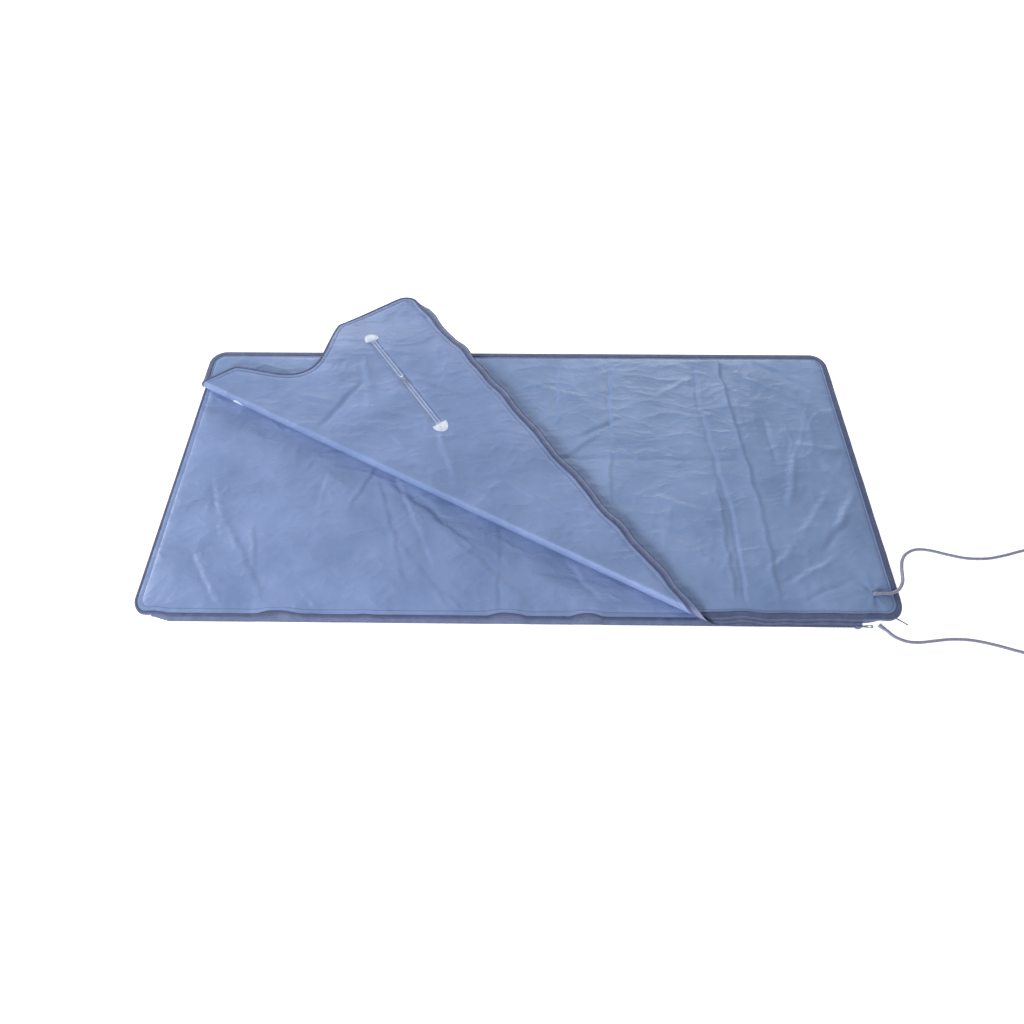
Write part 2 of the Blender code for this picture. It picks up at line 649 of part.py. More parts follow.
def zip_tail(collection):
    """The loose end of the zip's tape, which sticks out at the foot corner."""
    corner = CORNER_RADIUS * (1 - math.sqrt(0.5)) - TAIL_CLEARANCE
    start = Vector((LENGTH / 2 - corner, corner - WIDTH / 2, PANEL_THICKNESS * 3 / 5))
    place = Matrix.Translation(start) @ Matrix.Rotation(TAIL_TURN, 4, "Z")
    outline = rectangle(0.0, TAIL_LENGTH, -TAIL_WIDTH / 2, TAIL_WIDTH / 2)
    extruded("corner_zip_tail", outline, ZIP_TAPE_THICKNESS, place, "zip teeth", collection)


# ---------------------------------------------------------------- cords

def smooth_path(route, spacing):
    """Points at an even spacing along a Catmull-Rom curve through the route's points."""
    route = [Vector(point) for point in route]
    padded = [2 * route[0] - route[1]] + route + [2 * route[-1] - route[-2]]
    fine = []
    for before, start, end, after in zip(padded, padded[1:], padded[2:], padded[3:]):
        for step in range(16):
            t = step / 16
            fine.append(0.5 * (2 * start + (end - before) * t
                               + (2 * before - 5 * start + 4 * end - after) * t ** 2
                               + (3 * start - before - 3 * end + after) * t ** 3))
    fine.append(route[-1])
    travelled = [0.0]
    for start, end in zip(fine, fine[1:]):
        travelled.append(travelled[-1] + (end - start).length)
    count = round(travelled[-1] / spacing)
    points = []
    index = 0
    for step in range(count + 1):
        wanted = travelled[-1] * step / count
        while index < len(fine) - 2 and travelled[index + 1] < wanted:
            index += 1
        share = (wanted - travelled[index]) / (travelled[index + 1] - travelled[index])
        points.append(fine[index].lerp(fine[index + 1], share))
    return points


def beyond_corner(place, height=0.0):
    """A point from its distances outwards from the foot edge and inwards from the near one."""
    return Vector((LENGTH / 2 + place[0], place[1] - WIDTH / 2, height))


def cord(prefix, exit_at, exit_height, route, coil_at, plug_turn, collection):
    """Sleeve, cord, wound coil and connector of one panel's cord."""
    start = beyond_corner(exit_at, exit_height)
    route = [beyond_corner((out, inwards), ON_FLOOR + (exit_height - ON_FLOOR) * share)
             for out, inwards, share in route]
    heading = route[0] - start
    heading.z = 0
    heading.normalize()
    turned(f"{prefix}_cord_sleeve",
           [(0, SLEEVE_LENGTH), (SLEEVE_TIP_RADIUS, SLEEVE_LENGTH), (SLEEVE_BASE_RADIUS, 0),
            (0, 0)], towards(start, heading), "cord rubber", collection, steps=12)
    first = start + heading * (SLEEVE_LENGTH + PIECE_GAP)
    straight = first + heading * CORD_DIAMETER
    centre = beyond_corner(coil_at)
    inner = COIL_RADIUS - CORD_DIAMETER
    outer = COIL_RADIUS + CORD_DIAMETER
    # The cord runs on to the coil's outer turn and stops where it would meet the coil.
    short = math.sqrt(outer ** 2 - COIL_RADIUS ** 2) + PIECE_GAP
    last = centre + Vector((-short, -COIL_RADIUS - CORD_DIAMETER / 2, ON_FLOOR))
    run = smooth_path([straight] + route + [last], CORD_POINT_SPACING)
    tube(f"{prefix}_cord", [first] + run, CORD_DIAMETER, 8, "cord rubber", collection)
    low = PIECE_GAP
    high = low + COIL_HEIGHT
    turned(f"{prefix}_cord_coil",
           [(inner, high), (outer, high), (outer, low), (inner, low), (inner, high)],
           Matrix.Translation(centre), "cord rubber", collection, steps=28)
    away = Vector((math.cos(plug_turn), math.sin(plug_turn), 0))
    beside = Vector((-away.y, away.x, 0))
    place = centre + away * (outer + PLUG_RADIUS + PIECE_GAP) - beside * PLUG_LENGTH / 2
    place.z = PLUG_RADIUS + PIECE_GAP
    tip = PLUG_RADIUS * PLUG_TIP_SHARE
    shoulder = PLUG_LENGTH * PLUG_TIP_SHARE
    turned(f"{prefix}_cord_plug",
           [(0, PLUG_LENGTH), (tip, PLUG_LENGTH), (tip, shoulder), (PLUG_RADIUS, shoulder),
            (PLUG_RADIUS, PLUG_LENGTH * PLUG_BASE_SHARE), (PLUG_BASE_RADIUS, 0), (0, 0)],
           towards(place, beside), "sensor plastic", collection, steps=16)


# ---------------------------------------------------------------- the object

def main():
    clear_scene()
    parts = new_collection("Infrared sauna blanket")
    cutters = new_collection("Cutters")
    low = COVER_BASE - CUTTER_REACH
    high = COVER_TOP + CUTTER_REACH
    near_slit = layer("near_slit", arm_slit(NEAR_SLIT_Y), low, high, None, cutters, "flap")
    far_slit = layer("far_slit", arm_slit(FAR_SLIT_Y), low, high, None, cutters, "fixed")
    panel_layers("bottom", "whole", parts, False)
    panel_binding("bottom", "whole", parts, cutters, False)
    panel_layers("cover", "fixed", parts, True, [far_slit])
    panel_binding("cover", "fixed", parts, cutters, True)
    panel_layers("flap", "flap", parts, True, [near_slit])
    panel_binding("flap", "flap", parts, cutters, True)
    fold_pieces(parts)
    heating_cables(parts)
    sensors(parts)
    side_joining(parts)
    side_zip(parts)
    side_slider(parts)
    zip_tail(parts)
    arm_zip("near", "flap", NEAR_SLIT_Y, ARM_NEAR_SLIDER_AT, parts)
    arm_zip("far", "fixed", FAR_SLIT_Y, ARM_FAR_SLIDER_AT, parts)
    cord("cover", COVER_CORD_EXIT, SLEEVE_ON_COVER, COVER_CORD_ROUTE, COVER_COIL_AT,
         COVER_PLUG_TURN, parts)
    cord("bottom", BOTTOM_CORD_EXIT, SLEEVE_ON_FLOOR, BOTTOM_CORD_ROUTE, BOTTOM_COIL_AT,
         BOTTOM_PLUG_TURN, parts)


main()
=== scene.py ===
# %% [markdown]
# # A heated fabric blanket, opened at one corner
# The object is two quilted nylon panels, one on the other, joined along two sides and zipped
# along a third. The cover's near head corner is turned back over a straight fold. The hard
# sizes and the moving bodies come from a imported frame. This script dresses that frame: it
# makes the cloth, seams, zips and cords, and gives every inner layer its own finish.

# %% Frame
import json
import math

import bmesh
import bpy
import numpy as np
from mathutils import Matrix, Vector, kdtree
from mathutils.geometry import delaunay_2d_cdt


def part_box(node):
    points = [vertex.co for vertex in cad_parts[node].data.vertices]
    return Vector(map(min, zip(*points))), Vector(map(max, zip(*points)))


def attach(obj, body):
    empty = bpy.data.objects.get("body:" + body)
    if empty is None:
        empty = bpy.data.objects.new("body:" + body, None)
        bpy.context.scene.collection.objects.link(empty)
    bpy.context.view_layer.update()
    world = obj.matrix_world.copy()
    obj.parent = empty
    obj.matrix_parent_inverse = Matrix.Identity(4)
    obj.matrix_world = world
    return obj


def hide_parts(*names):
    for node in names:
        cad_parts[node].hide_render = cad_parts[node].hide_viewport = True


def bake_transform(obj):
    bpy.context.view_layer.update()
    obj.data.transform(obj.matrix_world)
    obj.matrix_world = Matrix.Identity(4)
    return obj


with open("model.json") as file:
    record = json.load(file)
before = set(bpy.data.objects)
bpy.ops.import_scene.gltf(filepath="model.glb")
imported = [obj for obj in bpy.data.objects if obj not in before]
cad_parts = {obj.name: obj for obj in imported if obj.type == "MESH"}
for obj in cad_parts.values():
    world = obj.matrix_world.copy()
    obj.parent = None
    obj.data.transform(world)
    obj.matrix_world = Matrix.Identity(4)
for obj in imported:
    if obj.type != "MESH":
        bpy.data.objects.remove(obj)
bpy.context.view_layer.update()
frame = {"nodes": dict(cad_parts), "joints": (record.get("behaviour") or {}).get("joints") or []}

# %% [markdown]
# The panels' sizes are read from the frame's own nodes, and the fold from the hinge that the
# turned-back corner moves on. Only what no node states, such as the roundness of a corner,
# is written here, in metres.

# %% Sizes
panel_low, panel_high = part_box("bottom_binding")
cover_low, cover_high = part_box("cover_binding")
LENGTH = panel_high.x - panel_low.x
WIDTH = panel_high.y - panel_low.y
THICKNESS = panel_high.z - panel_low.z
COVER_TOP = cover_high.z
COVER_MIDDLE = (cover_low.z + COVER_TOP) / 2
BINDING = 0.0075                # width of the edge binding's narrow legs
COVER_LEG = 0.0155              # width of its leg on the cover's outer face
SEAM = 0.0185                   # line of stitching that holds the padding, from the edge
CORNER_RADIUS = 0.045
NECK_HALF_WIDTH = 0.165         # the scoop at the cover's head end
NECK_DEPTH = 0.130
NECK_ROUNDNESS = 1.3            # power of the scoop's cosine: above 1 narrows its floor

fold_joint = next(joint for joint in frame["joints"] if joint["name"] == "fold_hinge")
HINGE = Vector(fold_joint["pos_m"])
ALONG = Vector(fold_joint["axis"]).normalized()
OUT = Vector((ALONG.y, -ALONG.x, 0.0))          # towards the near head corner
ROLL_RADIUS = HINGE.z - COVER_MIDDLE
ROLL_LENGTH = math.pi * ROLL_RADIUS
HALF_TURN = (Matrix.Translation(HINGE) @ Matrix.Rotation(math.pi, 4, ALONG)
             @ Matrix.Translation(-HINGE))
ROLL_FLATNESS = 0.72            # how far the roll reaches out, against a true half circle
BAND = 0.0022                   # half the height of the strip between the fixed and the turned parts
print("panel", round(LENGTH, 3), round(WIDTH, 3), "fold radius", round(ROLL_RADIUS, 4))


def in_scene(name, data):
    """A new object, linked to the scene."""
    made = bpy.data.objects.new(name, data)
    bpy.context.scene.collection.objects.link(made)
    return made


# %% [markdown]
# A camera that stands over the near side and looks down about sixty degrees sees the whole
# blanket. Its turn is built from the direction it looks in, so the numbers stay readable.

# %% Camera
CAMERA_AT = Vector((0.0085, -0.9427, 1.4153))
CAMERA_PITCH = math.radians(-59.68)
CAMERA_YAW = math.radians(-1.12)
CAMERA_ROLL = math.radians(0.51)
CAMERA_LENS = 22.4

camera_data = bpy.data.cameras.new("camera")
camera_data.lens = CAMERA_LENS
camera_data.sensor_width = 36.0
camera = in_scene("camera", camera_data)
forward = Vector((math.sin(CAMERA_YAW) * math.cos(CAMERA_PITCH),
                  math.cos(CAMERA_YAW) * math.cos(CAMERA_PITCH), math.sin(CAMERA_PITCH)))
level_right = Vector((math.cos(CAMERA_YAW), -math.sin(CAMERA_YAW), 0.0))
level_down = forward.cross(level_right)
right = level_right * math.cos(CAMERA_ROLL) + level_down * math.sin(CAMERA_ROLL)
down = level_down * math.cos(CAMERA_ROLL) - level_right * math.sin(CAMERA_ROLL)
turn = Matrix((right, -down, -forward)).transposed()
camera.matrix_world = Matrix.Translation(CAMERA_AT) @ turn.to_4x4()
bpy.context.scene.camera = camera

# %% [markdown]
# ## Finishes
# Coated nylon is a tight plain weave with a soft sheen, which bends in small creases between
# its stitches. Its colour is nearly even apart from soft lighter and darker patches of painted
# sheen, so the rest of the life comes from bump: broad creases, small creases and the weave,
# each at its real size. One helper adds a node, sets it and links it.

# %% Material helpers
def colour(text):
    """A '#rrggbb' screen colour as linear red, green, blue and alpha."""
    channels = [int(text[i:i + 2], 16) / 255 for i in (1, 3, 5)]
    linear = [c / 12.92 if c <= 0.04045 else ((c + 0.055) / 1.055) ** 2.4 for c in channels]
    return (*linear, 1.0)


def add(tree, kind, settings=(), **inputs):
    """Add a node: settings are its own properties, inputs are values or sockets to link."""
    made = tree.nodes.new(kind)
    for name, value in dict(settings).items():
        setattr(made, name, value)
    for name, value in inputs.items():
        key = int(name[1:]) if name[0] == "_" and name[1:].isdigit() else name.replace("_", " ")
        socket = made.inputs[key]
        if isinstance(value, bpy.types.NodeSocket):
            tree.links.new(value, socket)
        else:
            socket.default_value = value
    return made


def new_material(name, **values):
    """A material with a Principled shader, its constant values set on the shader's sockets."""
    made = bpy.data.materials.new(name)
    made.use_nodes = True
    shader = made.node_tree.nodes["Principled BSDF"]
    for key, value in values.items():
        shader.inputs[key.replace("_", " ")].default_value = value
    return made, made.node_tree, shader


def mottle(tree, shader, place, low, high, size, detail=3.0):
    """Vary the base colour softly between two colours over patches of the given size."""
    patches = add(tree, "ShaderNodeTexNoise", Vector=place, Scale=1.0 / size, Detail=detail,
                  Roughness=0.55)
    spread = add(tree, "ShaderNodeMapRange", Value=patches.outputs["Fac"], From_Min=0.3,
                 From_Max=0.7)
    mixed = add(tree, "ShaderNodeMix", {"data_type": "RGBA"}, _0=spread.outputs[0],
                _6=colour(low), _7=colour(high))
    tree.links.new(mixed.outputs[2], shader.inputs["Base Color"])


def bump(tree, height, distance, strength, below=None):
    """A bump of some depth in metres, laid over the bump below it."""
    made = add(tree, "ShaderNodeBump", Height=height, Distance=distance, Strength=strength)
    if below:
        tree.links.new(below.outputs["Normal"], made.inputs["Normal"])
    return made


def weave_height(tree, place, pitch):
    """A plain weave: two sets of threads, crossing, as a height from -1 to 1."""
    parts = add(tree, "ShaderNodeSeparateXYZ", Vector=place)
    waves = []
    for axis in ("X", "Y"):
        turns = add(tree, "ShaderNodeMath", {"operation": "MULTIPLY"},
                    _0=parts.outputs[axis], _1=2 * math.pi / pitch)
        waves.append(add(tree, "ShaderNodeMath", {"operation": "SINE"}, _0=turns.outputs[0]))
    return add(tree, "ShaderNodeMath", {"operation": "MULTIPLY"}, _0=waves[0].outputs[0],
               _1=waves[1].outputs[0]).outputs[0]


# %% Nylon
NYLON_SHEEN_PATCH = 0.14              # size of the painted sheen: soft lighter and darker patches in its colour
NYLON_THREADS = 0.0007          # real ones are 0.1 mm apart, too fine to show even close up


def nylon(name, low, high, roughness, crease_size, seed):
    """Coated nylon cloth: colour mottled with painted sheen, creases at two sizes and a fine
    weave.
    """
    made, tree, shader = new_material(name, Roughness=roughness, Sheen_Weight=0.06,
                                      Sheen_Roughness=0.45, Specular_IOR_Level=0.45)
    place = add(tree, "ShaderNodeTexCoord").outputs["Object"]
    # The mottle here is painted sheen: soft lighter and darker patches that stand for light on the
    # nylon.
    mottle(tree, shader, place, low, high, NYLON_SHEEN_PATCH)
    moved = add(tree, "ShaderNodeVectorMath", {"operation": "ADD"}, _0=place,
                _1=(seed, seed * 0.7, 0.0)).outputs[0]
    drift = add(tree, "ShaderNodeTexNoise", Vector=moved, Scale=0.6 / crease_size, Detail=2.0)
    bent = add(tree, "ShaderNodeVectorMath", {"operation": "MULTIPLY_ADD"},
               _0=drift.outputs["Color"], _1=(crease_size, crease_size, 0.0), _2=moved).outputs[0]
    bent = add(tree, "ShaderNodeMapping", Vector=bent, Rotation=(0.0, 0.0, seed),
               Scale=(0.6, 1.5, 1.0)).outputs[0]
    chain = None
    for size, distance, strength in ((crease_size, 0.0028, 0.65),
                                     (crease_size * 0.4, 0.0010, 0.5)):
        folds = add(tree, "ShaderNodeTexNoise", {"noise_type": "RIDGED_MULTIFRACTAL"},
                    Vector=bent, Scale=0.55 / size, Detail=2.4, Roughness=0.5, Lacunarity=2.1,
                    Offset=0.85, Gain=1.4)
        chain = bump(tree, folds.outputs["Fac"], distance, strength, chain)
    threads = weave_height(tree, place, NYLON_THREADS)
    chain = bump(tree, threads, 0.00005, 0.5, chain)
    tree.links.new(chain.outputs["Normal"], shader.inputs["Normal"])
    return made


# Each nylon's two colours are the ends of its painted sheen patches.
outer_nylon = nylon("outer_nylon_cloth", "#748db8", "#889fcb", 0.46, 0.050, 3.0)
inner_nylon = nylon("inner_nylon_cloth", "#7087b4", "#859ac9", 0.48, 0.045, 11.0)

# %% [markdown]
# Tapes, patches and thread are woven polyester: matt, with a coarser weave than the panels,
# so that they stay still and dull where the nylon shines. Only colour and pitch differ, so
# one function makes them all. Their threads are drawn about twice as coarse as real ones.

# %% Tapes, thread and tabs
def woven(name, low, high, pitch, roughness=0.75):
    """A woven tape or patch, with threads that show close up."""
    made, tree, shader = new_material(name, Roughness=roughness, Sheen_Weight=0.2,
                                      Sheen_Roughness=0.6)
    place = add(tree, "ShaderNodeTexCoord").outputs["Object"]
    mottle(tree, shader, place, low, high, 0.02, 5.0)
    threads = weave_height(tree, place, pitch)
    chain = bump(tree, threads, 0.00012, 0.8)
    tree.links.new(chain.outputs["Normal"], shader.inputs["Normal"])
    return made


binding_tape = woven("binding_tape", "#404c73", "#505e89", 0.0011)
zip_fabric = woven("zip_tape_fabric", "#65729a", "#7a87ae", 0.0010)
arm_fabric = woven("arm_zip_fabric", "#9badd8", "#abbde4", 0.0010)
tab_fabric = woven("white_patch_fabric", "#cddcf0", "#e4eefb", 0.0009, 0.6)
stitch_thread = woven("stitch_thread", "#2c3450", "#3b4566", 0.0004)
pale_thread = woven("pale_stitch_thread", "#b9c8e0", "#d3deed", 0.0004)

# %% [markdown]
# Zip coils, cast sliders, moulded connectors and the cords' jackets have no weave, only a
# fine grain that breaks up the highlight. The hidden wadding and felt are matt and coarse.

# %% Nylon coil, metal, plastic and rubber
def moulded(name, low, high, roughness, grain, depth, **values):
    """A moulded or cast surface with a fine grain."""
    made, tree, shader = new_material(name, Roughness=roughness, **values)
    place = add(tree, "ShaderNodeTexCoord").outputs["Object"]
    mottle(tree, shader, place, low, high, grain * 12)
    fine = add(tree, "ShaderNodeTexNoise", Vector=place, Scale=1.0 / grain, Detail=4.0)
    chain = bump(tree, fine.outputs["Fac"], depth, 0.6)
    tree.links.new(chain.outputs["Normal"], shader.inputs["Normal"])
    return made


coil_nylon = moulded("zip_coil_nylon", "#333b56", "#434d6b", 0.38, 0.0008, 0.00004)
pale_coil = moulded("arm_zip_coil_nylon", "#8898c2", "#97a7cf", 0.40, 0.0008, 0.00004)
lacquered_metal = moulded("lacquered_metal", "#9aa5c0", "#b4bed4", 0.32, 0.0012, 0.00003,
                          Metallic=0.55)
black_plastic = moulded("connector_plastic", "#1b1c20", "#26282d", 0.42, 0.0006, 0.00006)
cord_rubber = moulded("cord_jacket", "#8586a0", "#9596b0", 0.48, 0.0007, 0.00006)
cable_silicone = moulded("heating_cable_silicone", "#a8261c", "#bd3527", 0.5, 0.0005, 0.00004)
wadding_fibre = moulded("wadding_fibre", "#deddd6", "#f1f0ea", 0.95, 0.0025, 0.0006)
carbon_felt = moulded("carbon_felt", "#26272a", "#37383c", 0.93, 0.0012, 0.0003)

# %% [markdown]
# Every part of the frame that isn't replaced by a finer piece keeps its shape and takes one
# of these finishes, chosen by the last word of its name that names one.

# %% Frame finishes
finish_of = {"wadding": wadding_fibre, "felt": carbon_felt, "cable": cable_silicone,
             "sensor": black_plastic, "joint": black_plastic, "sleeve": cord_rubber,
             "cord": cord_rubber, "plug": black_plastic, "shell": outer_nylon,
             "lining": inner_nylon, "binding": binding_tape, "tape": zip_fabric,
             "teeth": coil_nylon, "coil": pale_coil, "tab": tab_fabric,
             "slider": lacquered_metal, "pull": lacquered_metal, "tail": coil_nylon}
for name, node in frame["nodes"].items():
    words = name.split("_")
    chosen = next(finish_of[word] for word in reversed(words) if word in finish_of)
    node.data.materials.clear()
    node.data.materials.append(chosen)
print("finishes on", len(frame["nodes"]), "nodes")

# %% [markdown]
# ## Cloth helpers
# A quilted panel is drawn flat first: its outline is a short list of straight sides, arcs and
# a cosine for the neck. From that line come the binding, the seams and the zips, so they
# all fit. A point's distance to the edge then says how thick the padding is there.

# %% Panel outline
EDGE_SPACING = 0.005
ARC_STEPS = 12
NECK_STEPS = 80


def along_path(points, spacing):
    """Even points along a closed polyline, as an array."""
    points = np.vstack([points, points[:1]])
    steps = np.linalg.norm(np.diff(points, axis=0), axis=1)
    travelled = np.concatenate([[0.0], np.cumsum(steps)])
    count = round(travelled[-1] / spacing)
    wanted = np.linspace(0.0, travelled[-1], count + 1)[:-1]
    return np.stack([np.interp(wanted, travelled, points[:, axis]) for axis in (0, 1)], axis=1)


def panel_outline(neck):
    """The panel's edge, anticlockwise from the near foot corner, as even points."""
    points = []
    for corner, (sx, sy) in enumerate([(1, -1), (1, 1), (-1, 1), (-1, -1)]):
        centre_x = sx * (LENGTH / 2 - CORNER_RADIUS)
        centre_y = sy * (WIDTH / 2 - CORNER_RADIUS)
        for step in range(ARC_STEPS + 1):
            angle = math.pi / 2 * (corner - 1 + step / ARC_STEPS)
            points.append((centre_x + CORNER_RADIUS * math.cos(angle),
                           centre_y + CORNER_RADIUS * math.sin(angle)))
        if corner == 2 and neck:
            for step in range(NECK_STEPS + 1):
                y = NECK_HALF_WIDTH * (1 - 2 * step / NECK_STEPS)
                cut = max(0.0, math.cos(math.pi / 2 * y / NECK_HALF_WIDTH)) ** NECK_ROUNDNESS
                points.append((-LENGTH / 2 + NECK_DEPTH * cut, y))
    return along_path(points, EDGE_SPACING)


def inwards(line):
    """The direction into the panel at each point of an anticlockwise closed line."""
    heading = np.roll(line, -1, axis=0) - np.roll(line, 1, axis=0)
    side = np.stack([-heading[:, 1], heading[:, 0]], axis=1)
    return side / np.linalg.norm(side, axis=1, keepdims=True)


def edge_distance(points, outline):
    """Each point's distance from a closed outline, in metres."""
    tree = kdtree.KDTree(len(outline))
    for index, (x, y) in enumerate(outline):
        tree.insert((x, y, 0.0), index)
    tree.balance()
    nearest = np.array([tree.find((x, y, 0.0))[1] for x, y in points])
    best = np.full(len(points), np.inf)
    for side in (-1, 0):
        start = outline[(nearest + side) % len(outline)]
        step = outline[(nearest + side + 1) % len(outline)] - start
        share = ((points - start) * step).sum(1) / (step * step).sum(1)
        foot = start + step * np.clip(share, 0, 1)[:, None]
        best = np.minimum(best, np.linalg.norm(points - foot, axis=1))
    return best


bottom_outline = panel_outline(neck=False)
cover_outline = panel_outline(neck=True)
print("outline points", len(bottom_outline), len(cover_outline))

# %% [markdown]
# Cloth creases are not random bumps. Padding makes broad swells, the two skins buckle into
# sharper folds between them, and every seam gathers the nylon into small puckers that die
# away inwards. Each of these is one function of the flat panel, added up below.

# %% Creases
def noise(x, y, seed):
    """Smooth gradient noise, about -1 to 1, with one cell to a unit square."""
    cell_x, cell_y = np.floor(x), np.floor(y)
    in_x, in_y = x - cell_x, y - cell_y

    def slope(i, j):
        turn = np.sin((cell_x + i) * 127.1 + (cell_y + j) * 311.7 + seed * 74.7) * 43758.5453
        turn = (turn - np.floor(turn)) * 2 * np.pi
        return np.cos(turn) * (in_x - i) + np.sin(turn) * (in_y - j)

    fade_x = in_x ** 3 * (in_x * (in_x * 6 - 15) + 10)
    fade_y = in_y ** 3 * (in_y * (in_y * 6 - 15) + 10)
    low = slope(0, 0) * (1 - fade_x) + slope(1, 0) * fade_x
    high = slope(0, 1) * (1 - fade_x) + slope(1, 1) * fade_x
    return 1.5 * (low * (1 - fade_y) + high * fade_y)


def smooth_step(value, low, high):
    """0 up to low, 1 from high on, and an even slope between them."""
    share = np.clip((value - low) / (high - low), 0, 1)
    return share * share * (3 - 2 * share)


def crumple(x, y, seed, size=0.11, turn=0.0):
    """Broad swells, patches of sharper folds and a few long slack ones that share a way."""
    across = x * math.cos(turn) + y * math.sin(turn)
    down = y * math.cos(turn) - x * math.sin(turn)
    drift_x = across + 0.45 * size * noise(across / size, down / size, seed + 1)
    drift_y = down + 0.45 * size * noise(across / size, down / size, seed + 2)
    swell = noise(drift_x / size / 2.6, drift_y / size / 1.5, seed + 3)
    sharp = 1 - np.abs(noise(drift_x / size / 1.3, drift_y / size * 1.6, seed + 4)) * 2.6
    small = 1 - np.abs(noise(drift_x / size * 1.3, drift_y / size * 3.4, seed + 5)) * 3.0
    long = 1 - np.abs(noise(drift_x / size / 2.4, drift_y / size * 2.2, seed + 7)) * 4.5
    patch = smooth_step(noise(x / size / 1.6, y / size / 1.6, seed + 6), -0.05, 0.60)
    slack = smooth_step(noise(x / size / 2.0, y / size / 2.0, seed + 8), 0.00, 0.50)
    return (0.0012 * swell + patch * (0.0007 * np.clip(sharp, 0, 1) ** 2
                                      + 0.0006 * np.clip(small, 0, 1) ** 2)
            + 0.0010 * slack * np.clip(long, 0, 1) ** 1.5)


def crease(x, y, start, end, width, height, seed):
    """One pressed fold line between two places, which wanders a little and fades out."""
    start, end = np.array(start), np.array(end)
    length = np.linalg.norm(end - start)
    heading = (end - start) / length
    along = (x - start[0]) * heading[0] + (y - start[1]) * heading[1]
    aside = (y - start[1]) * heading[0] - (x - start[0]) * heading[1]
    aside = aside + 0.006 * noise(along / 0.05, along * 0 + seed, seed)
    fade = smooth_step(along, -0.02, 0.05) * (1 - smooth_step(along, length - 0.05, length + 0.02))
    step = -0.5 * np.tanh(aside / width * 1.5) * np.exp(-(aside / width / 3) ** 2)
    return 1.25 * height * fade * (np.exp(-(aside / width) ** 2) + step)


def creased(folds, x, y, creases):
    """Add a list of pressed folds: (start, end, width, height, seed) each."""
    for fold in creases:
        folds = folds + crease(x, y, *fold)
    return folds


def limited(height, most):
    """Folds keep their valleys, while their tops are pressed to a level."""
    return np.where(height > 0, most * np.tanh(height / most), height)


def pucker(along, inset, seed, depth=0.0011, pitch=0.016, reach=0.030):
    """Small gathers square to a seam, deepest beside it."""
    wave = noise(along / pitch, inset / 0.06, seed)
    broad = noise(along / pitch / 3.1, inset / 0.09, seed + 1)
    away = np.abs(inset - SEAM)
    held = smooth_step(inset, BINDING - 0.003, BINDING + 0.004)
    return depth * (0.6 * wave + 0.8 * broad) * np.exp(-away / reach) * held


def seam(inset):
    """The dip along the line of stitching inside the binding."""
    return -0.0016 * np.exp(-((inset - SEAM) / 0.0026) ** 2)


def padding(inset, full, edge=0.0035):
    """Half the panel's thickness: thin at the sewn edge, full a hand's width inside."""
    return edge + (full - edge) * smooth_step(inset, -0.012, 0.042)


# %% [markdown]
# A constrained triangulation fills an outline with near-even triangles and keeps the edge
# exact, which a grid can't do round the neck. Two such skins, one over the other, are joined
# along the edge into one closed quilt.

# %% Quilt builder
ROW_STEP = 0.866                # rows of a triangle grid, against the space between points
QUILT_EDGE = 0.0016             # how far inside the binding's outer face the quilt ends


def hex_points(low, high, spacing):
    """Rows of points, each half a space aside from the last."""
    found = []
    for row, y in enumerate(np.arange(low[1], high[1], spacing * ROW_STEP)):
        x = np.arange(low[0] + (row % 2) * spacing / 2, high[0], spacing)
        found.append(np.stack([x, np.full(len(x), y)], axis=1))
    return np.vstack(found)


def inside_outline(points, outline):
    """Which points are inside the outline, by counting the edges a ray crosses."""
    inside = np.zeros(len(points), bool)
    following = np.roll(outline, -1, axis=0)
    for (ax, ay), (bx, by) in zip(outline, following):
        if ay == by:
            continue
        crosses = (points[:, 1] > ay) != (points[:, 1] > by)
        at = (bx - ax) * (points[:, 1] - ay) / (by - ay) + ax
        inside ^= crosses & (points[:, 0] < at)
    return inside


def filled(outline, rings, regions):
    """Triangles inside an outline: rings near the edge, then hex grids of chosen spacing.

    regions are (spacing, test) pairs: test says which grid points of that spacing to keep.
    """
    normals = inwards(outline)
    parts = [outline]
    for inset in rings:
        ring = outline + normals * inset
        parts.append(ring[edge_distance(ring, outline) > inset * 0.97])
    for spacing, test in regions:
        grid = hex_points(outline.min(0), outline.max(0), spacing)
        grid = grid[test(grid)]
        grid = grid[inside_outline(grid, outline)]
        parts.append(grid[edge_distance(grid, outline) > rings[-1] + spacing * 0.6])
    points = np.vstack(parts)
    count = len(outline)
    edges = [(i, (i + 1) % count) for i in range(count)]
    made = delaunay_2d_cdt([Vector(p) for p in points], edges, [], 1, 1e-7)
    flat = np.array([tuple(v) for v in made[0]])
    place = {source: index for index, sources in enumerate(made[3]) for source in sources}
    border = [place[i] for i in range(count)]
    return flat, [list(face) for face in made[2]], border


def quilt(upper, lower, upper_height, lower_height):
    """A bmesh closed between two skins that share their border points."""
    made = bmesh.new()
    skins = []
    for (flat, faces, border), heights, finish in ((upper, upper_height, 0),
                                                   (lower, lower_height, 1)):
        verts = [made.verts.new((x, y, z)) for (x, y), z in zip(flat, heights)]
        for face in faces:
            corners = [verts[i] for i in face]
            if finish:
                corners.reverse()
            made.faces.new(corners).material_index = finish
        skins.append([verts[i] for i in border])
    top, bottom = skins
    for i in range(len(top)):
        j = (i + 1) % len(top)
        made.faces.new((top[i], bottom[i], bottom[j], top[j])).material_index = 1
    made.normal_update()
    return made


def padded_panel(outline, *skins):
    """A quilt within an outline: (rings, regions, height) for its top, then its underside."""
    line = outline + inwards(outline) * QUILT_EDGE
    flats, heights = [], []
    for rings, regions, height in skins:
        flats.append(filled(line, rings, regions))
        points = flats[-1][0]
        heights.append(height(points[:, 0], points[:, 1], edge_distance(points, outline)))
    return quilt(*flats, *heights)


def bridged(made, first, second):
    """Faces between two closed rings of as many points."""
    for i in range(len(first)):
        j = (i + 1) % len(first)
        made.faces.new((first[i], first[j], second[j], second[i]))


